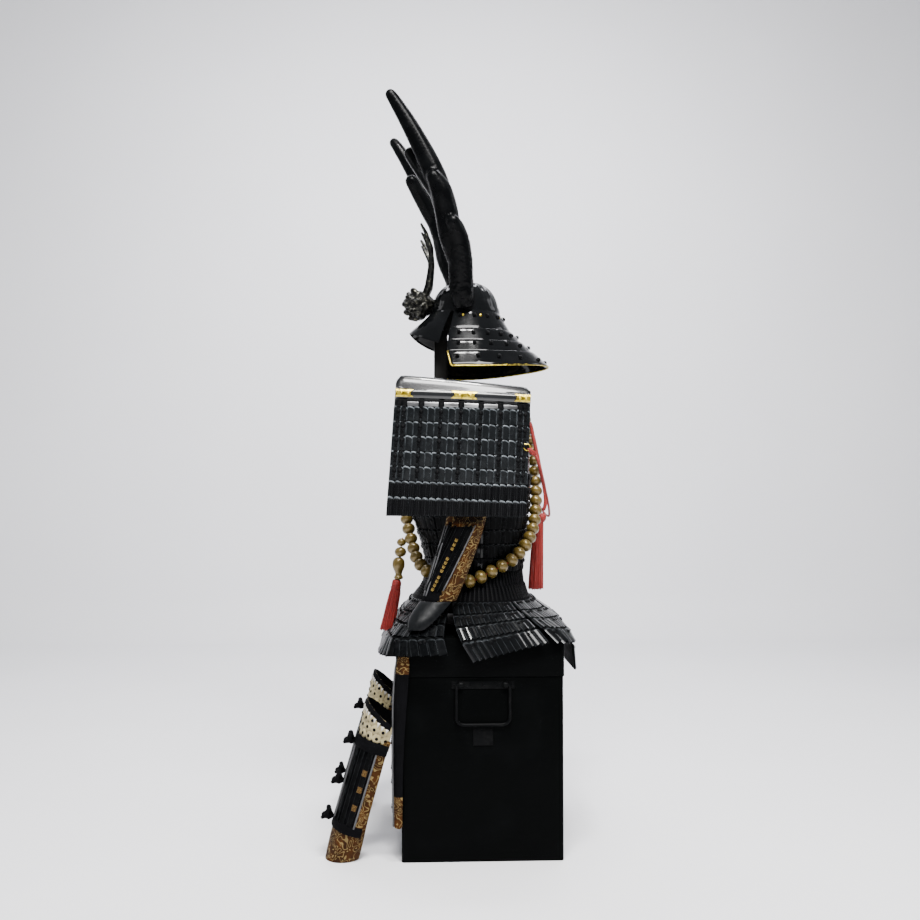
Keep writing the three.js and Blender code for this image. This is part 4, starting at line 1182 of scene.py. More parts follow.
class BuildTassels(bpy.types.Operator):
    """Silk tassels at the front and back, each with a bound head and a skirt of loose strands."""

    bl_idname = "armour.tassels"
    bl_label = "Tassels"

    def execute(self, context):
        self.tassel("front_silk_tassel", "front_tassel", 0.0335, [(-0.2175, 0.6745, 0.008),
            (-0.218, 0.671, 0.0128), (-0.2195, 0.658, 0.0138), (-0.221, 0.650, 0.0115)],
            [(-0.221, 0.651, 0.0125), (-0.223, 0.640, 0.0158), (-0.2315, 0.600, 0.0178),
            (-0.2455, 0.538, 0.0195)])
        self.tassel("back_silk_tassel", "back_tassel", 0.0, [(0.178, 0.8515, 0.005), (0.178, 0.847, 0.013),
            (0.177, 0.835, 0.0142), (0.174, 0.828, 0.0085)], [(0.174, 0.829, 0.008),
            (0.170, 0.820, 0.0125), (0.166, 0.790, 0.0158), (0.162, 0.700, 0.0195),
            (0.160, 0.642, 0.0215)])
        return {"FINISHED"}

    def tassel(self, name, node, x, head, skirt):
        rng = random.Random(len(name))
        pieces = []
        path = [(x, y, z) for y, z, r in head]
        bulb = tube("bulb", path, [r for y, z, r in head], 16)
        modify(bulb, "SUBSURF", levels=1, render_levels=1)
        lay_map(bulb, lambda p: (atan2(p.x - x, p.y - head[1][0]) / tau, p.z), period=1.0)
        pieces.append(bulb)
        y, z, r = head[-1]
        for k in range(4):
            turns = [(x + (r + 0.0012) * cos(tau * t / 16), y + (r + 0.0012) * sin(tau * t / 16),
                z - 0.001 + k * 0.0022) for t in range(16)]
            pieces.append(tube("binding", turns, 0.0012, 6, loop=True))
        finished(gather(name + "_head", pieces), "red_cord", "red_silk")
        strands = []
        count = sizes().tassel_strands
        for k in range(count):
            turn = tau * k * 0.381966
            depth = sqrt((k + 0.5) / count)
            sway, phase = rng.uniform(0.0003, 0.001), rng.uniform(0, tau)
            cut = rng.uniform(0.0, 0.006)
            path = []
            for i in range(9):
                t = i / 8 * (len(skirt) - 1)
                a = min(int(t), len(skirt) - 2)
                mix = t - a
                y, z, r = (skirt[a][n] + (skirt[a + 1][n] - skirt[a][n]) * mix for n in range(3))
                wave = sway * sin(i * 1.3 + phase) * (i / 8)
                path.append((x + (r - 0.0012) * depth * cos(turn + wave * 60) + wave,
                    y + (r - 0.0012) * depth * sin(turn + wave * 60), z + (cut if i == 8 else 0)))
            strands.append(tube("strand", path, [0.0007, 0.0011] + [0.00125] * 6 + [0.0009], 5))
        skirt_piece = finished(gather(name, strands), "red_floss", "red_silk", replaces=[node])
        smooth(skirt_piece, radians(80))


class BuildBeads(bpy.types.Operator):
    """The bead string from the right shoulder to the left hip, and its hanging pendant."""

    bl_idname = "armour.beads"
    bl_label = "Beads"

    def execute(self, context):
        gaps = self.gap_places()
        bead = kept_unit("bead", self.bead)
        places = []
        for i, place in enumerate(gaps):
            after = gaps[(i + 1) % len(gaps)]
            way = (after - place).normalized()
            turn = way.to_track_quat("Z", "Y").to_matrix().to_4x4()
            spin = Matrix.Rotation(i * 2.4, 4, "Z")
            size = 0.0176 * (0.985 + 0.03 * ((i * 7) % 5) / 4)
            places.append(Matrix.Translation((place + after) / 2) @ turn @ spin @ Matrix.Diagonal((size,
                size, 0.0151, 1)))
        laid_out("bead_loop", bead, places, "bead", "bead_wood", replaces=["bead_string"])
        cord = tube("bead_cord", [p for p in gaps], 0.0022, 8, loop=True)
        finished(cord, "red_cord", "bead_wood")
        x = 0.0335
        small = [Matrix.Translation((x, -0.206, 0.7735)) @ Matrix.Diagonal((0.0125, 0.0125, 0.0108, 1)),
            Matrix.Translation((x, -0.2085, 0.7475)) @ Matrix.Diagonal((0.0158, 0.0158, 0.0138, 1))]
        drop = kept_unit("drop", self.drop)
        beads = [set_out("pendant_beads", bead, small, "bead"), set_out("pendant_drop", drop,
            [Matrix.Translation((x, -0.2135, 0.704))], "bead")]
        pendant = gather("pendant", beads)
        finished(pendant, "bead", "bead_wood", replaces=["bead_pendant"])
        thread = tube("pendant_cord", [(x, -0.203, 0.7855), (x, -0.2065, 0.762), (x, -0.2085, 0.738),
            (x, -0.2135, 0.705), (x, -0.218, 0.6715)], 0.0017, 8)
        finished(thread, "red_cord", "bead_wood")
        return {"FINISHED"}

    def gap_places(self):
        """The thin places between beads on the CAD string, in order round the loop."""
        work = bmesh.new()
        work.from_mesh(NODES["bead_string"].data)
        bmesh.ops.remove_doubles(work, verts=work.verts, dist=1e-5)
        points = [v.co.copy() for v in work.verts]
        work.free()
        found = []
        for p in points:
            near = [q for q in points if (q - p).length < 0.0068]
            if len(near) < 6:
                continue
            middle = sum(near, Vector()) / len(near)
            if all((middle - other).length > 0.01 for other in found):
                found.append(middle)
        order = [found.pop(0)]
        while found:
            nearest = min(found, key=lambda q: (q - order[-1]).length)
            found.remove(nearest)
            order.append(nearest)
        return order

    def bead(self):
        """A turned bead of unit radius, dimpled at its two holes."""
        obj = primitive("uv_sphere", "bead", segments=20, ring_count=12, radius=1)
        shape(obj, "VERT", lambda p: abs(p.z) > 0.99, lambda: bpy.ops.transform.resize(value=(1, 1, 0.82)))
        lay_map(obj, lambda p: (atan2(p.y, p.x) / tau * 4, p.z * 0.35), period=4.0)
        return smooth(obj, radians(60))

    def drop(self):
        """A gourd-shaped drop: small bulb over a large one."""
        profile = [(0.0022, 0.0300), (0.0095, 0.0285), (0.0148, 0.0235), (0.0172, 0.0155), (0.0172, 0.0070),
            (0.0150, -0.0010), (0.0112, -0.0080), (0.0088, -0.0140), (0.0092, -0.0190), (0.0128, -0.0235),
            (0.0134, -0.0275), (0.0060, -0.0305), (0.0022, -0.0315)]
        obj = tube("drop", [(0, 0, z) for r, z in profile], [r for r, z in profile], 20)
        modify(obj, "SUBSURF", levels=1, render_levels=1)
        lay_map(obj, lambda p: (atan2(p.y, p.x) / tau * 4, p.z * 12), period=4.0)
        return smooth(obj, radians(60))


class BuildShoulderGuards(bpy.types.Operator):
    """Shoulder guards: a polished cap, a bar with gilt fittings, five scale rows and two laced rows."""

    bl_idname = "armour.shoulder_guards"
    bl_label = "Shoulder guards"

    def execute(self, context):
        for side, sign in SIDES:
            self.rows(side, sign)
            self.cap(side, sign)
        return {"FINISHED"}

    def surface(self, sign, node, y, z):
        return outermost(node, Vector((0.2 * sign, y, z)), Vector((sign, 0, 0)))

    def edge_y(self, z, s):
        t = (1.2 - z) / 0.35
        front = -0.215 - 0.025 * t
        back = 0.121 - 0.015 * t
        return front + (back - front) * s

    def rows(self, side, sign):
        count = 20
        scales, pads, cords, knots = [], [], [], []
        width = 0.336 / count
        for row in range(7):
            node = f"shoulder_{side}_row_{row + 1}"
            for j in range(count):
                s = (j + 0.5) / count
                span = self.span(sign, node, row, s, 0.0008, 0.0012)
                if span:
                    scales += row_of_scales([span], width, sizes().scale_thickness,
                        sizes().scale_slant * sign)
            if row < LACED_ROWS:
                for s in LACING_COLUMNS:
                    span = self.span(sign, node, row, s, 0.0005, 0.001)
                    top, low, facing = span
                    up = (top - low).normalized()
                    braid = sizes().braid_width
                    knots.append(stand_at(top - up * 0.0125, facing, up, 0.0022,
                        stretch=(0.0060, 0.0054, 0.0060)))
                    pads += cross_knot(top - up * 0.0245, facing, up, braid * 0.8, 0.0105, 0.0026)
                    for shift in (-0.5, 0.5):
                        across = up.cross(facing) * (shift * braid * 1.05)
                        pads.append(stand_at(top - up * 0.001 + across, facing, up, 0.0024,
                            stretch=(braid, braid * 0.9, 0.007)))
            else:
                for j in range(66):
                    s = (j + 0.5) / 66
                    span = self.span(sign, node, row, s, 0.006, 0.0018)
                    top, low, facing = span
                    cords.append(stand_at((top + low) / 2, facing, top - low, 0.0023,
                        stretch=(0.0046, 0.0042, (top - low).length)))
        laid_out(f"shoulder_scales_{side}", scale_unit(), scales, "scale", "laced_lacquer")
        laid_out(f"shoulder_lacing_{side}", braid_unit(), pads + cords, "lacing", "black_cord")
        laid_out(f"shoulder_knots_{side}", dome_unit("knot"), knots, "lacing", "black_cord")

    def span(self, sign, node, row, s, top_gap, low_gap):
        (front, back), (front_low, back_low) = SHOULDER_EDGES[row], SHOULDER_EDGES[row + 1]
        z_top = front + (back - front) * s - top_gap
        z_low = front_low + (back_low - front_low) * s + low_gap
        top = self.surface(sign, node, self.edge_y(z_top, s), z_top)
        low = self.surface(sign, node, self.edge_y(z_low, s), z_low)
        if not top or not low:
            return None
        return top[0], low[0], (top[1] + low[1]).normalized()

    def cap(self, side, sign):
        node = f"shoulder_{side}_cap"
        plate = soft_copy(node, f"shoulder_cap_{side}", levels=2, crease=0.9)
        for vertex in plate.data.vertices:
            s = (vertex.co.y + 0.215) / 0.336
            from_end = max(0.0, min(s, 1 - s) * 0.336)
            if from_end < 0.02:
                drop = 0.02 - sqrt(0.02 ** 2 - (0.02 - from_end) ** 2)
                vertex.co.z = min(vertex.co.z, 1.201 - 0.031 * s - drop)
        spots, pads = [], []
        for k in range(41):
            s = 0.02 + 0.96 * k / 40
            z = 1.1275 - 0.0112 * s
            hit = self.surface(sign, node, self.edge_y(z, s), z)
            spots.append(hit)
        strip = strap("strip", spots, 0.0115, 0.0012)
        finished(strip, "steel", "laced_lacquer")
        strip.name = f"shoulder_strip_{side}"
        for s in LACING_COLUMNS:
            z = 1.1275 - 0.0112 * s
            hit = self.surface(sign, node, self.edge_y(z, s), z)
            pads.append(stand_at(hit[0], hit[1], UP, 0.001, stretch=(0.0145, 0.006, 0.0165)))
        laid_out(f"shoulder_pads_{side}", braid_unit(), pads, "lacing", "black_cord")
        finished(plate, "cap", "laced_lacquer", replaces=[node])
        gold, studs = [], []
        for s_from, s_to in ((0.004, 0.135), (0.41, 0.605), (0.875, 0.996)):
            gold.append(self.fitting(sign, node, s_from, s_to))
            for share in (0.32, 0.72):
                s = s_from + (s_to - s_from) * share
                z = 1.153 - 0.0135 * s
                hit = self.surface(sign, node, self.edge_y(z, s), z)
                studs.append(stand_at(hit[0], hit[1], UP, 0.0012, stretch=(0.0042, 0.0036, 0.0042)))
        gold.append(set_out("studs", dome_unit("stud"), studs, "gilt"))
        finished(gather(f"shoulder_gilt_{side}", gold), "gilt", "laced_lacquer")

    def fitting(self, sign, node, s_from, s_to):
        """A thin gilt sleeve round the bar, with a notch in each end."""
        rows = []
        for k in range(9):
            around_bar = k / 8
            row = []
            for j in range(9):
                s = s_from + (s_to - s_from) * j / 8
                z = 1.1630 - 0.0135 * s - 0.0185 * around_bar
                notch = 0.012 * (1 - abs(2 * around_bar - 1))
                inset = notch * (1 - min(j, 1)) if s_from > 0.01 else 0
                inset -= notch * (1 - min(8 - j, 1)) if s_to < 0.99 else 0
                y = self.edge_y(z, s) + inset
                hit = self.surface(sign, node, y, z)
                row.append(hit[0] + Vector((sign * 0.0009, 0, 0)))
            rows.append(row)
        if sign < 0:
            rows = [list(reversed(row)) for row in rows]
        return sheet("fitting", rows, 0.0008, levels=1)


class BuildCuirass(bpy.types.Operator):
    """The laced cuirass: seven scale rows round the body, the plain upper plates and the padded straps."""

    bl_idname = "armour.cuirass"
    bl_label = "Cuirass"

    def execute(self, context):
        scales, knots = [], []
        for lame in range(len(CUIRASS_LAMES) - 1):
            low, top = CUIRASS_LAMES[lame], CUIRASS_LAMES[lame + 1]
            count = 62
            for j in range(count):
                angle = 360 * (j + 0.5) / count
                node = "cuirass_front" if (angle < 90 or angle > 270) else "cuirass_back"
                centre_top, centre_low = Vector((0, 0, top - 0.0015)), Vector((0, 0, low + 0.0015))
                a = outermost(node, centre_top, around(angle))
                b = outermost(node, centre_low, around(angle))
                if not a or not b:
                    continue
                nearby = outermost(node, centre_top, around(angle + 360 / count / 2))
                width = 2 * ((nearby[0] if nearby else a[0]) - a[0]).length or 0.016
                width = min(max(width, 0.012), 0.02)
                facing = (a[1] + b[1]).normalized()
                scales += row_of_scales([(a[0], b[0], facing)], width, 0.0016, -sizes().scale_slant)
                if j % 3 == 1:
                    up = (a[0] - b[0]).normalized()
                    knots += cross_knot(a[0] - up * 0.011, facing, up, 0.0042, 0.009, 0.0024)
                    for shift in (-0.0023, 0.0023):
                        across = up.cross(facing) * shift
                        knots.append(stand_at(b[0] + up * 0.005 + across, facing, up, 0.0022,
                            stretch=(0.0042, 0.004, 0.012)))
        # The cuirass scales take the darker copy of the scale lacquer, which is painted shade.
        laid_out("cuirass_scales", scale_unit(), scales, "body_scale", "laced_lacquer")
        laid_out("cuirass_lacing", braid_unit(), knots, "lacing", "black_cord")
        for half in ("front", "back"):
            plate = soft_copy(f"cuirass_{half}", f"cuirass_{half}_plate", levels=1, crease=0.95)
            finished(plate, "plate", "laced_lacquer", replaces=[f"cuirass_{half}"])
        return {"FINISHED"}


class BuildSkirts(bpy.types.Operator):
    """The lacing below the waist and the eight tassets with their scale rows."""

    bl_idname = "armour.skirts"
    bl_label = "Tassets"

    def execute(self, context):
        for entry in TASSETS:
            self.panel(*entry)
        self.waist()
        return {"FINISHED"}

    def panel(self, name, *cut):
        node = f"tasset_{name}"
        scales, knots = [], []
        widest = abs(cut[3] - cut[2])
        count = 13 if widest > 36 else 12
        for row in range(4):
            t_top, t_low = TASSET_ROWS[row] + (0.014 if row else 0.004), TASSET_ROWS[row + 1] - 0.012
            for j in range(count):
                s = (j + 0.5) / count
                spans = [self.place(node, entry_t, s, *cut) for entry_t in (t_top, t_low)]
                if None in spans:
                    continue
                (a, na), (b, nb) = spans
                beside = self.place(node, (t_top + t_low) / 2, s + 0.5 / count, *cut)
                middle = self.place(node, (t_top + t_low) / 2, s, *cut)
                width = 2 * (beside[0] - middle[0]).length if beside and middle else 0.014
                facing = (na + nb).normalized()
                scales += row_of_scales([(a, b, facing)], min(width, 0.02), 0.0018, -sizes().scale_slant)
                if j % 3 == 1:
                    up = (a - b).normalized()
                    across = up.cross(facing)
                    for shift in (-0.0055, 0.0055):
                        knots.append(stand_at(a - up * 0.0085 + across * shift, facing, up, 0.0016,
                            stretch=(0.0050, 0.0042, 0.0050)))
        kind = "front_scale" if name.startswith("front") else "skirt_scale"
        laid_out(f"tasset_scales_{name}", scale_unit(), scales, kind, "laced_lacquer")
        laid_out(f"tasset_knots_{name}", dome_unit("knot"), knots, "lacing", "black_cord")
        refinish(node, "lining")

    def place(self, node, t, s, top_from, top_to, low_from, low_to, z_from, z_to):
        top_angle = top_from + (top_to - top_from) * s
        low_angle = low_from + (low_to - low_from) * s
        angle = top_angle + (low_angle - top_angle) * t
        low = z_from + (z_to - z_from) * s
        z = TASSET_TOP + (low - TASSET_TOP) * t
        return outermost(node, Vector((0, 0, z)), around(angle))

    def waist(self):
        cords = []
        for j in range(96):
            angle = 360 * (j + 0.5) / 96
            for z_top, z_low in ((0.6985, 0.6615), (0.6625, 0.6295)):
                a = outermost("waist_lacing", Vector((0, 0, z_top)), around(angle))
                b = outermost("waist_lacing", Vector((0, 0, z_low)), around(angle))
                facing = (a[1] + b[1]).normalized()
                cords.append(stand_at((a[0] + b[0]) / 2, facing, a[0] - b[0], 0.0002,
                    stretch=(0.0062, 0.0052, (a[0] - b[0]).length * 1.04)))
        laid_out("waist_braids", braid_unit(), cords, "lacing", "black_cord")
        refinish("waist_lacing", "black_cloth")
        # Painted shade: a strip of black cloth just inside the lacing, behind the tassets' tops, darkens
        # the gaps between the tassets.
        rows = []
        for z in (0.632, 0.615, 0.598):
            row = []
            for j in range(72):
                way = around(5 * j)
                hit = outermost("waist_lacing", Vector((0, 0, 0.632)), way)
                place = hit[0] - way * 0.0045
                row.append(Vector((place.x, place.y, z)))
            rows.append(row)
        finished(sheet("gap_shade_backing", rows, 0.002, levels=0, closed=True), "black_cloth", "black_cord")


class BuildHelmet(bpy.types.Operator):
    """The ribbed bowl with its riveted band, the visor, and the neck guard with knots and a gilt rim."""

    bl_idname = "armour.helmet"
    bl_label = "Helmet"

    def execute(self, context):
        self.bowl()
        visor = soft_copy("helmet_visor", "visor", levels=2, crease=0.9)
        finished(visor, "plate", "helmet_lacquer", replaces=["helmet_visor"])
        knots, studs = [], []
        for row in range(1, 5):
            node = f"neck_guard_row_{row}"
            plate = soft_copy(node, f"neck_lame_{row}", levels=2, crease=0.9)
            finished(plate, "plate", "helmet_lacquer", replaces=[node])
            low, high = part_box(node)
            count = (10, 12, 12, 11)[row - 1]
            for j in range(count):
                angle = 180 - 100 + 200 * j / (count - 1)
                z = high.z - 0.016 if row < 4 else high.z - 0.026
                centre = Vector((0, BOWL_Y, z))
                hit = outermost(node, centre, around(angle))
                if not hit or hit[0].z > high.z:
                    continue
                up = UP
                knots += cross_knot(hit[0], hit[1], up, 0.005, 0.0115, 0.0003)
                studs.append(stand_at(hit[0], hit[1], up, 0.001, stretch=(0.0054, 0.0058, 0.0054)))
        laid_out("neck_knots", braid_unit(), knots, "lacing", "black_cord")
        laid_out("neck_knot_heads", dome_unit("knot"), studs, "lacing", "black_cord")
        self.rim()
        return {"FINISHED"}

    def bowl(self):
        segments = sizes().bowl_ribs * 6
        obj = primitive("uv_sphere", "ribbed_bowl", segments=segments, ring_count=36, radius=1)
        shape(obj, "VERT", lambda p: p.z < -0.01, lambda: bpy.ops.mesh.delete(type="VERT"))
        for vertex in obj.data.vertices:
            p = vertex.co
            turn = atan2(p.x, -p.y)
            level = max(p.z, 0.0)
            reach = hypot(p.x, p.y)
            column = round(turn / tau * segments) % 6
            rise = min(1.0, reach * 3.0) if level > 0.16 else 0.0
            rib = (0.0011 if column == 0 else 0.0) * rise
            tall = level ** 0.9
            wide = reach ** 0.8 if reach > 1e-4 else 0.0
            vertex.co = ((0.0878 + rib) * wide * sin(turn), BOWL_Y - (0.0928 + rib) * wide * cos(turn),
                1.391 + (0.0918 + rib) * tall)
        modify(obj, "SOLIDIFY", thickness=0.002, offset=-1.0)
        smooth(obj, radians(30))
        finished(obj, "plate", "helmet_lacquer", replaces=["helmet_bowl"])
        band_rows = []
        for z, grow in ((1.4085, 0.0009), (1.4085, 0.0026), (1.403, 0.0032), (1.396, 0.0032),
            (1.3915, 0.0026)):
            level = ((z - 1.391) / 0.0918) ** (1 / 0.9) if z > 1.391 else 0
            wide = cos(asin(min(level, 1))) ** 0.8
            band_rows.append([((0.0878 * wide + grow) * sin(tau * j / 96),
                BOWL_Y - (0.0928 * wide + grow) * cos(tau * j / 96), z) for j in range(97)])
        band = sheet("bowl_band", band_rows, 0.0012, levels=0)
        finished(band, "plate", "helmet_lacquer")
        rivets = self.gilt_rivets()
        laid_out("bowl_rivets", dome_unit("rivet", 3, 8), rivets, "gilt", "helmet_lacquer")
        crown = []
        for z, r in ((1.4822, 0.014), (1.4838, 0.0105), (1.4848, 0.0065)):
            ring = [(r * cos(tau * j / 24), BOWL_Y + r * sin(tau * j / 24), z) for j in range(24)]
            crown.append(tube("crown_ring", ring, 0.0011, 8, loop=True))
        finished(gather("crown_fitting", crown), "gilt", "helmet_lacquer")

    def gilt_rivets(self):
        places = []
        for angle in (84, 112, 150, 210, 248, 276):
            hit = outermost("neck_guard_row_1", Vector((0, BOWL_Y, 1.379)), around(angle))
            places.append(stand_at(hit[0], hit[1], UP, 0.0003, stretch=(0.004, 0.003, 0.004)))
        return places

    def rim(self):
        """Gilt rim round the lowest row, and up its two front edges."""
        low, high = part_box("neck_guard_row_4")
        rise = [low.z + 0.004 + (high.z - low.z - 0.008) * k / 5 for k in range(5, -1, -1)]
        path = [spot for spot in (self.front_edge(z, 1) for z in rise) if spot]
        first = degrees(atan2(path[-1].x, BOWL_Y - path[-1].y)) + 1.5
        for j in range(61):
            angle = first + (360 - 2 * first) * j / 60
            z = 1.2372 + 0.015 * max(-cos(radians(angle)), 0) ** 2
            hit = outermost("neck_guard_row_4", Vector((0, BOWL_Y, z)), around(angle))
            if hit:
                path.append(hit[0] - around(angle) * 0.0012 - Vector((0, 0, 0.0022)))
        path += [spot for spot in (self.front_edge(z, -1) for z in reversed(rise)) if spot]
        finished(tube("neck_rim", path, 0.0019, 8), "gilt", "helmet_lacquer")

    def front_edge(self, z, sign):
        """Where the lowest row's front edge stands at a height."""
        for step in range(200):
            way = around(sign * (50 + 0.2 * step))
            hit = outermost("neck_guard_row_4", Vector((0, BOWL_Y, z)), way)
            if hit:
                return hit[0] + way * 0.0006
        return None


class BuildAntlers(bpy.types.Operator):
    """Lacquered antlers of blunt round limbs, pebbled low down and burred at the root."""

    bl_idname = "armour.antlers"
    bl_label = "Antlers"

    def execute(self, context):
        for side, sign in SIDES:
            node = f"antler_{side}"
            obj = gather(f"antler_lacquered_{side}", [self.limb(rows, sign) for rows in ANTLER_LIMBS])
            modify(obj, "REMESH", mode="VOXEL", voxel_size=0.0028, use_smooth_shade=True)
            modify(obj, "SMOOTH", factor=0.6, iterations=9)
            self.burr(obj)
            smooth(obj, radians(70))
            finished(obj, "antler", "antler_lacquer", replaces=[node])
        return {"FINISHED"}

    def limb(self, rows, sign):
        """One limb along its middle line, with a round blunt end."""
        spots = [Vector((sign * x, y, z)) for x, y, z, r in rows]
        runs = [0.0]
        for a, b in zip(spots, spots[1:]):
            runs.append(runs[-1] + (b - a).length)
        table = [(run, row[3]) for run, row in zip(runs, rows)]
        steps = 26
        path = along_path(spots, steps)[0]
        widths = [between(table, runs[-1] * k / steps)[0] for k in range(steps + 1)]
        way = (path[-1] - path[-2]).normalized()
        end, width = path[-1], widths[-1]
        for turn in (0.5, 0.95, 1.3, 1.5):
            path.append(end + way * (width * sin(turn)))
            widths.append(width * cos(turn))
        return tube("limb", path, widths, 20)

    def burr(self, obj):
        """Beaded ring of the burr at the root, and shallow gutters along the beam."""
        mesh = obj.data
        mesh.update()
        normals = [v.normal.copy() for v in mesh.vertices]
        for vertex, normal in zip(mesh.vertices, normals):
            p = vertex.co
            root = max(0.0, 1.0 - abs(p.z - 1.44) / 0.035)
            lower = max(0.0, min(1.0, (1.78 - p.z) / 0.3))
            pebble = max(0.0, noise.noise(p * 210)) * 0.0022 * lower
            gutter = noise.noise(Vector((p.x * 70, p.y * 70, p.z * 7))) * 0.0014 * lower
            bead = max(0.0, noise.noise(p * 95)) * 0.004 * root
            vertex.co = p + normal * (pebble + gutter + bead)


class BuildChest(bpy.types.Operator):
    """The lacquered chest, its lid and plain fittings, and the black stand."""

    bl_idname = "armour.chest"
    bl_label = "Chest and stand"

    def execute(self, context):
        for node, name, edge in (("chest_body", "chest_box", 0.002), ("chest_lid", "chest_cover", 0.0025)):
            obj = crisp_copy(node, name, edge)
            finished(obj, "chest", "chest_lacquer", replaces=[node])
        finished(crisp_copy("stand", "stand_frame", 0.0015), "stand", "stand_wood", replaces=["stand"])
        for side, sign in SIDES:
            self.fittings(side, sign)
        return {"FINISHED"}

    def fittings(self, side, sign):
        for part in ("handle_mount", "lock_plate"):
            node = f"chest_{part}_{side}"
            finished(crisp_copy(node, f"{part}_iron_{side}", 0.0006), "iron", "iron", replaces=[node])
        x = 0.259 * sign
        path = [(x, 0.048, 0.434), (x, 0.0585, 0.434), (x, 0.0635, 0.4325), (x, 0.0655, 0.429),
            (x, 0.066, 0.424), (x, 0.066, 0.356), (x, 0.0645, 0.3465), (x, 0.059, 0.3395),
            (x, 0.050, 0.3365), (x, 0.040, 0.336)]
        half = along_path(path, 26)[0]
        rod = [p for p in half] + [Vector((p.x, -p.y, p.z)) for p in reversed(half)]
        bail = tube(f"handle_bail_{side}", rod, 0.004, 12)
        finished(bail, "iron", "iron", body=f"{side}_handle", replaces=[f"chest_handle_{side}"])
        nails = [stand_at(Vector((sign * 0.2523, y, z)), Vector((sign, 0, 0)), UP,
            stretch=(0.0028, 0.0018, 0.0028)) for y, z in ((-0.072, 0.4325), (-0.03, 0.4325),
            (0.0, 0.4325), (0.03, 0.4325), (0.072, 0.4325))]
        nails += [stand_at(Vector((sign * 0.2528, y, z)), Vector((sign, 0, 0)), UP,
            stretch=(0.002, 0.0014, 0.002)) for y in (-0.0195, 0.0195) for z in (0.289, 0.324)]
        laid_out(f"chest_nails_{side}", dome_unit("rivet", 3, 8), nails, "iron", "iron")


class BuildSleeves(bpy.types.Operator):
    """Brocade sleeves with splints, piping and woven bars on the forearm, and the lacquered hand guards."""

    bl_idname = "armour.sleeves"
    bl_label = "Sleeves"

    def execute(self, context):
        for side, sign in SIDES:
            self.sleeve(side, sign)
            hand = soft_copy(f"hand_guard_{side}", f"hand_plate_{side}", levels=2, crease=0.85)
            finished(hand, "hand", "helmet_lacquer", replaces=[f"hand_guard_{side}"])
        return {"FINISHED"}

    def sleeve(self, side, sign):
        node = f"sleeve_{side}"
        cloth_piece = soft_copy(node, f"sleeve_cloth_{side}", levels=2, crease=0.6)

        def measure(p):
            x, y, across, back = between(ARM, p.z)
            return (atan2(abs(p.x) - x, -(p.y - y)) * 0.043, p.z)
        lay_map(cloth_piece, measure, period=tau * 0.043)

        def bare(p, facing):
            x, y, across, back = between(ARM, p.z)
            share = (p.y - y) / back
            return p.z < 0.828 and abs(p.x) > x and share + 3.0 * (0.805 - p.z) < 0.39
        two_finishes(cloth_piece, "brocade", "black_cloth", bare)
        finished(cloth_piece, "brocade", "brocade", replaces=[node])
        splints = []
        for lane, width in ((-0.78, 0.007), (-0.5, 0.008), (0.02, 0.009), (0.24, 0.009)):
            splints.append(self.lane(sign, lane, 0.824, 0.664, width, 0.0028, lacquered=True))
        plates = finished(gather(f"sleeve_splints_{side}", splints), "body_scale", "brocade")
        bars = []
        for middle in (0.789, 0.778, 0.768, 0.743, 0.733, 0.723, 0.713, 0.697, 0.687, 0.677, 0.667):
            bars.append(self.lane(sign, -0.17, middle + 0.0036, middle - 0.0036, 0.0068, 0.0034))
        bars = finished(gather(f"sleeve_bars_{side}", bars), "gilt_thread", "brocade")
        piping = []
        for share in (-0.93, -0.82):
            path = [arm_place(sign, 0.826 - 0.176 * k / 20, share, 0.0016)[0] for k in range(21)]
            piping.append(tube("piping", path, 0.0017, 8))
        path = []
        for k in range(21):
            z = 0.826 - 0.162 * k / 20
            path.append(arm_place(sign, z, min(0.98, 0.39 - 3.0 * (0.805 - z)), 0.0014)[0])
        piping.append(tube("piping", path, 0.0016, 8))
        piping = finished(gather(f"sleeve_piping_{side}", piping), "grey_cord", "brocade")
        rings = []
        for row in range(4):
            for k in range(15):
                share = -0.62 + 1.3 * (k + 0.5 * (row % 2)) / 14
                place, facing = arm_place(sign, 0.846 - 0.0045 * row, share, 0.0008)
                rings.append(stand_at(place, facing, UP, 0.0, stretch=(0.0026, 0.0026, 0.0026)))
        mail = laid_out(f"sleeve_mail_{side}", ring_unit(), rings, "iron", "brocade")

    def lane(self, sign, lane, high, low, width, thickness, lacquered=False):
        """A strip along the slant of the forearm. lane says how far back it lies."""
        spots = []
        for k in range(13):
            z = high + (low - high) * k / 12
            share = max(-0.97, min(0.97, lane - 3.0 * (0.805 - z)))
            spots.append(arm_place(sign, z, share, 0.0004))
        return strap("lane", spots, width, thickness, lacquered)


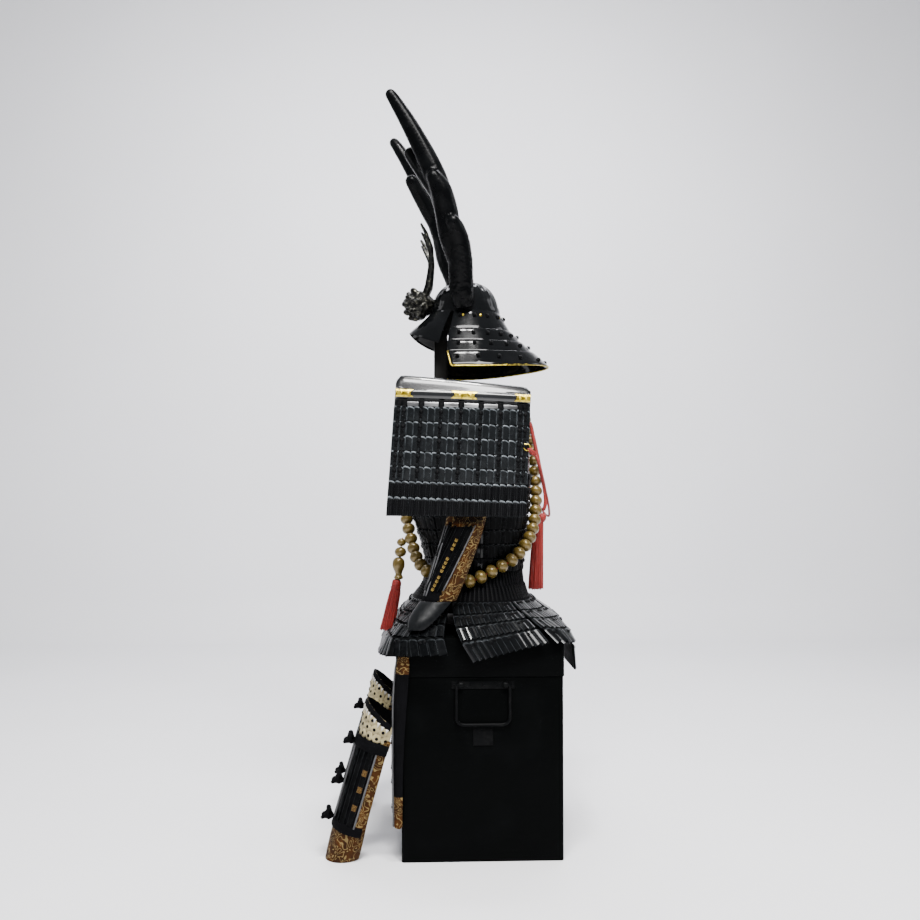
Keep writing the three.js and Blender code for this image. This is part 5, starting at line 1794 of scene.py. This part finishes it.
class BuildShinGuards(bpy.types.Operator):
    """Brocade shin guards with splints, bands and bows, and the quilted knee guards above them."""

    bl_idname = "armour.shin_guards"
    bl_label = "Shin guards"

    def execute(self, context):
        for side, sign in SIDES:
            self.shin(side, sign)
            self.knee(side, sign)
        return {"FINISHED"}

    def shin(self, side, sign):
        node = f"shin_guard_{side}"
        back_way = shin_matrix(sign).inverted()

        def flat(p):
            q = back_way @ p
            return (atan2(q.x * sign, -q.y) * 0.055, q.z)

        def ground(p, facing):
            u, height = flat(p)
            q = back_way @ p
            inside = (back_way.to_3x3() @ facing).dot(Vector((q.x, q.y, 0))) < 0
            return inside or height > 0.08 and abs(u) < radians(93) * 0.055
        piece = soft_copy(node, f"shin_cloth_{side}", levels=2, crease=0.6)
        lay_map(piece, flat)
        two_finishes(piece, "brocade", "black_cloth", ground)
        finished(piece, "brocade", "brocade", replaces=[node])
        splints, gilded = [], []
        for angle in (-78, -54, -31, 0, 31, 54, 78):
            splints.append(self.upright(sign, angle, 0.094, 0.298, 0.0135, 0.0034))
            if abs(angle) == 78:
                for height in (0.140, 0.186, 0.228):
                    gilded.append(self.upright(sign, angle, height - 0.0075, height + 0.0075, 0.0125,
                        0.0046))
        plates = finished(gather(f"shin_splints_{side}", splints), "body_scale", "brocade")
        gilded = finished(gather(f"shin_bars_{side}", gilded), "patch", "brocade")
        piping = []
        for angle in (-15, 15, -93, 93):
            path = [shin_place(sign, 0.09 + 0.215 * k / 20, angle, 0.0022)[0] for k in range(21)]
            piping.append(tube("piping", path, 0.0022, 8))
        piping = finished(gather(f"shin_piping_{side}", piping), "grey_cord", "brocade")
        bands = []
        for height, width in ((0.083, 0.023), (0.293, 0.027)):
            spots = []
            for k in range(41):
                spots.append(shin_place(sign, height, -118 + 236 * k / 40,
                    0.0036 if height > 0.2 else 0.001))
            bands.append(strap("band", spots, width, 0.0026))
        lean = shin_matrix(sign)
        bow = kept_unit("bow", self.bow)
        for height in (0.090, 0.180, 0.283):
            place, facing = shin_place(sign, height, 0, 0.004)
            copy = bow.data.copy()
            copy.transform(stand_at(place, facing, lean.to_3x3() @ UP))
            bands.append(new_object("bow", copy))
        ties = finished(gather(f"shin_ties_{side}", bands), "black_cloth", "brocade")

    def upright(self, sign, angle, low, high, width, thickness):
        spots = []
        for k in range(9):
            spots.append(shin_place(sign, low + (high - low) * k / 8, angle, 0.0004))
        return strap("splint", spots, width, thickness, lacquered=True)

    def bow(self):
        """A flat bow: a knot, two loops and two tails, lying against the surface behind it."""
        parts = []
        for way in (-1, 1):
            loop = [(0, -0.003, 0), (way * 0.007, -0.011, 0.008), (way * 0.017, -0.017, 0.013),
                (way * 0.023, -0.015, 0.005), (way * 0.016, -0.009, -0.002), (0, -0.004, 0)]
            path = along_path(loop, 16)[0]
            parts.append(tube("loop", path, [0.0035 + 0.0025 * sin(pi * k / 16) for k in range(17)], 8))
            tail = along_path([(0, -0.004, 0), (way * 0.006, -0.013, -0.003), (way * 0.011, -0.021, -0.004),
                (way * 0.014, -0.027, -0.010)], 8)[0]
            parts.append(tube("tail", tail, [0.0038, 0.0042, 0.0048, 0.0054, 0.006, 0.0062, 0.006, 0.005,
                0.0032], 8))
        knot = primitive("uv_sphere", "knot", segments=12, ring_count=8, radius=0.0075,
            location=(0, -0.008, 0))
        shape(knot, "VERT", lambda p: abs(p.x) < 0.0012, lambda: bpy.ops.transform.resize(value=(1, 1.25,
            1.35)))
        parts.append(knot)
        return gather("bow", parts)

    def knee(self, side, sign):
        node = f"knee_guard_{side}"
        lean = shin_matrix(sign)
        back_way = lean.inverted()
        turn_way = lean.to_3x3()

        def flat(p):
            q = back_way @ p
            return (atan2(q.x * sign, -q.y) * 0.062, q.z)
        piece = soft_copy(node, f"knee_cloth_{side}", levels=2, crease=0.6)
        lay_map(piece, flat)

        def lining(p, facing):
            q = back_way @ p
            way = back_way.to_3x3() @ facing
            return way.dot(Vector((q.x, q.y, 0))) < 0 or way.z > 0.4
        two_finishes(piece, "cream", "black_cloth", lining)
        finished(piece, "cream", "quilted_cloth", replaces=[node])

        def on_knee(height, angle):
            turn = radians(angle)
            way = turn_way @ Vector((sign * sin(turn), -cos(turn), 0))
            return outermost(node, lean @ Vector((0, 0, height)), way)
        cells, dots = [], []
        pitch = sizes().hexagon
        step = degrees(pitch / 0.0625)
        up = turn_way @ UP
        for row in range(9):
            height = 0.3165 + row * pitch * 0.866
            columns = int(104 / step)
            for k in range(-columns, columns + 1):
                angle = (k + 0.5 * (row % 2)) * step
                hit = on_knee(height, angle)
                if abs(angle) > 105 or not hit or not on_knee(height + pitch * 0.95, angle):
                    continue
                cells.append(stand_at(hit[0], hit[1], up, -0.0002, stretch=(pitch, pitch * 0.55, pitch)))
                dots.append(stand_at(hit[0], hit[1], up, pitch * 0.1, stretch=(0.0044, 0.003, 0.0044)))
        quilt = laid_out(f"knee_quilting_{side}", hexagon_unit(), cells, "cream", "quilted_cloth")
        studs = laid_out(f"knee_dots_{side}", dome_unit("knot"), dots, "black_cloth", "quilted_cloth")
        spots, teeth = [], []
        for k in range(61):
            angle = -106 + 212 * k / 60
            rim = max((h / 1000 for h in range(330, 402, 2) if on_knee(h / 1000, angle)), default=None)
            if rim is None:
                continue
            spots.append(on_knee(rim - 0.0075, angle) or on_knee(rim, angle))
            if k % 3 == 1:
                lower = on_knee(rim - 0.0180, angle)
                if lower:
                    teeth.append(stand_at(lower[0], lower[1], up, 0.0028, stretch=(0.0066, 0.005, 0.0120)))
        band = finished(strap(f"knee_border_{side}", spots, 0.0155, 0.0022), "black_cloth", "quilted_cloth")
        trim = laid_out(f"knee_teeth_{side}", tooth_unit(), teeth, "white_trim", "quilted_cloth")
        patches = []
        for angle in (-112, 112):
            spots = []
            for k in range(5):
                spots.append(shin_place(sign, 0.292 + 0.026 * k / 4, angle, 0.0012))
            patches.append(strap("patch", spots, 0.018, 0.0026))
        patch = finished(gather(f"knee_patches_{side}", patches), "patch", "brocade")


class BuildThighGuard(bpy.types.Operator):
    """The thigh guard apron: brocade with rows of lacquered splints, edged with piping."""

    bl_idname = "armour.thigh_guard"
    bl_label = "Thigh guard"

    def execute(self, context):
        node = "thigh_guard"
        piece = soft_copy(node, "apron_cloth", levels=1, crease=0.7)

        def flat(p):
            if abs(p.x) < 0.25:
                return (p.x, p.z)
            return (copysign(0.25 + (p.y + 0.215), p.x), p.z)
        lay_map(piece, flat)
        two_finishes(piece, "brocade", "black_cloth", lambda p, facing: abs(p.x) > 0.238
            and 0.128 < p.z < 0.445 or facing.y > 0.5)
        finished(piece, "brocade", "splint_cloth", replaces=[node])
        plates, links = [], []
        for low, high in ((0.118, 0.203), (0.214, 0.299), (0.310, 0.395)):
            for k in range(22):
                x = -0.231 + 0.022 * k
                a = self.front_of(node, x, high)
                b = self.front_of(node, x, low)
                if not a or not b:
                    continue
                facing = (a[1] + b[1]).normalized()
                plates.append(stand_at((a[0] + b[0]) / 2, facing, a[0] - b[0], 0.0002,
                    stretch=(0.0185, 0.02, (a[0] - b[0]).length)))
                for z in (high + 0.0055, low + 0.012, high - 0.012):
                    hit = self.front_of(node, x, z)
                    if hit:
                        lift = 0.0008 if z > high else 0.0038
                        links.append(stand_at(hit[0], hit[1], UP, lift, stretch=(0.0033, 0.0024, 0.0033)))
        plates = laid_out("apron_splints", scale_unit(), plates, "skirt_scale", "splint_cloth")
        links = laid_out("apron_knots", dome_unit("knot"), links, "lacing", "splint_cloth")
        low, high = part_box(node)
        edges = []
        for x in (-0.252, 0.252):
            path = []
            for k in range(41):
                z = low.z + 0.004 + (0.5 - low.z) * k / 40
                hit = self.front_of(node, x, z)
                if hit:
                    path.append(hit[0] + hit[1] * 0.0012)
            edges.append(tube("edge", path, 0.002, 8))
        hem = []
        for k in range(61):
            x = -0.252 + 0.504 * k / 60
            hit = self.front_of(node, x, low.z + 0.004)
            if hit:
                hem.append(hit[0] + hit[1] * 0.0012)
        edges.append(tube("hem", hem, 0.002, 8))
        edges = finished(gather("apron_piping", edges), "grey_cord", "splint_cloth")
        return {"FINISHED"}

    def front_of(self, node, x, z):
        place, facing, _, _ = skin(node).ray_cast(Vector((x, -0.6, z)), Vector((0, 1, 0)), 0.6)
        if place is None:
            return None
        if facing.y > 0:
            facing = -facing
        return place, facing


class BuildCrest(bpy.types.Operator):
    """The front crest: a generic carved boss with two slim horns, its ground worked with scrolls."""

    bl_idname = "armour.crest"
    bl_label = "Front crest"

    def execute(self, context):
        node = "helmet_crest"
        obj = from_node(node, "carved_crest", quads=False)
        obj = gather("carved_crest", [obj] + self.curls())
        modify(obj, "REMESH", mode="VOXEL", voxel_size=0.0018, use_smooth_shade=True)
        modify(obj, "SMOOTH", factor=0.5, iterations=4)
        mesh = obj.data
        mesh.update()
        normals = [v.normal.copy() for v in mesh.vertices]
        for vertex, normal in zip(mesh.vertices, normals):
            p = vertex.co
            boss = max(0.0, min(1.0, (1.432 - p.z) / 0.02))
            scroll = 1 - abs(noise.noise(p * 62) * 2.4)
            curl = 1 - abs(noise.noise(p * 120 + Vector((7, 3, 1))) * 2.2)
            ridge = 1 - abs(noise.noise(Vector((p.x * 90, p.y * 90, p.z * 18))) * 2.0)
            vertex.co = p + normal * (boss * (0.0028 * scroll + 0.0014 * curl - 0.0012) + (1 - boss)
                * 0.0006 * ridge)
        smooth(obj, radians(70))
        finished(obj, "carving", "carved_metal", replaces=[node])
        return {"FINISHED"}

    def curls(self):
        """Curled leaves that stand off the boss all round its face."""
        centre = Vector((0, -0.155, 1.422))
        out = []
        for k in range(15):
            level = 0.1 + 0.85 * (k / 14)
            spread = sqrt(1 - level * level)
            turn = k * 2.399963
            way = Vector((cos(turn) * spread, -level, sin(turn) * spread))
            side = way.cross(Vector((0.3, 0.2, 1))).normalized()
            path = along_path([centre + way * 0.028, centre + way * 0.038 + side * 0.004,
                centre + way * 0.044 + side * 0.013, centre + way * 0.039 + side * 0.023], 10)[0]
            out.append(tube("curl", path, [0.0095 - 0.00045 * i for i in range(11)], 8))
        return out


class BuildRings(bpy.types.Operator):
    """The gilt ring and stud at the back of each shoulder guard, with the loop of red cord through it."""

    bl_idname = "armour.rings"
    bl_label = "Shoulder rings"

    def execute(self, context):
        for side, sign in SIDES:
            hit = skin(f"shoulder_{side}_row_3").ray_cast(Vector((0.4 * sign, 0.104, 1.0245)),
                Vector((-sign, 0, 0)), 0.3)
            x = abs(hit[0].x) + 0.0042 if hit[0] else 0.271
            middle = Vector((sign * x, 0.1085, 1.0195))
            ring = [middle + Vector((sign * 0.0016 * sin(tau * k / 28), 0.0078 * cos(tau * k / 28),
                0.0078 * sin(tau * k / 28))) for k in range(28)]
            parts = [tube("ring", ring, 0.0013, 8, loop=True)]
            stud = stand_at(Vector((sign * (x - 0.003), 0.1035, 1.0262)), Vector((sign, 0, 0)), UP,
                stretch=(0.0048, 0.0042, 0.0048))
            parts.append(set_out("stud", dome_unit("stud"), [stud], "gilt"))
            finished(gather(f"shoulder_ring_{side}", parts), "gilt", "laced_lacquer")
            loops = []
            for shift in (0.0, 0.0034):
                points = [(x + 0.002, 0.1105 + shift, 1.0155), (x + 0.0035, 0.120 + shift, 1.0105),
                    (x + 0.001, 0.1265 + shift, 1.0035), (x - 0.004, 0.124 + shift, 1.0005),
                    (x - 0.0045, 0.117 + shift, 1.006), (x - 0.002, 0.111 + shift, 1.0125)]
                path = along_path([(sign * a, b, c) for a, b, c in points], 24, loop=True)[0]
                loops.append(tube("loop", path, 0.0017, 8, loop=True))
            finished(gather(f"ring_loops_{side}", loops), "red_cord", "red_silk")
        return {"FINISHED"}


class ARMOUR_PT_panel(bpy.types.Panel):
    """Lists the sizes, the colours and the builders."""

    bl_idname = "ARMOUR_PT_panel"
    bl_label = "Laced armour"
    bl_space_type = "VIEW_3D"
    bl_region_type = "UI"
    bl_category = "Armour"

    def draw(self, context):
        layout = self.layout
        for group in (context.scene.armour_sizes, context.scene.armour_colours):
            for name in group.bl_rna.properties.keys():
                if name not in ("rna_type", "name"):
                    layout.prop(group, name)
        for builder in BUILDERS:
            layout.operator(builder.bl_idname)


BUILDERS = (SetStage, BuildCords, BuildTassels, BuildBeads, BuildShoulderGuards, BuildRings, BuildCuirass,
    BuildSkirts, BuildSleeves, BuildShinGuards, BuildThighGuard, BuildHelmet, BuildCrest, BuildAntlers,
    BuildChest)
CLASSES = (ArmourSizes, ArmourColours, *BUILDERS, ARMOUR_PT_panel)


def register():
    for cls in CLASSES:
        bpy.utils.register_class(cls)
    bpy.types.Scene.armour_sizes = PointerProperty(type=ArmourSizes)
    bpy.types.Scene.armour_colours = PointerProperty(type=ArmourColours)


def unregister():
    del bpy.types.Scene.armour_colours
    del bpy.types.Scene.armour_sizes
    for cls in reversed(CLASSES):
        bpy.utils.unregister_class(cls)


def finish_frame_nodes():
    """CAD nodes that still show get the finish of their kind."""
    known = {material.name for material in FINISHES.values()}
    for name, node in NODES.items():
        if node.hide_render or node.data.materials and node.data.materials[0].name in known:
            continue
        refinish(name, "lining" if name.startswith("shoulder") else "plate")


def main():
    register()
    for builder in BUILDERS:
        group, name = builder.bl_idname.split(".")
        getattr(getattr(bpy.ops, group), name)()
    finish_frame_nodes()


if __name__ == "__main__":
    main()
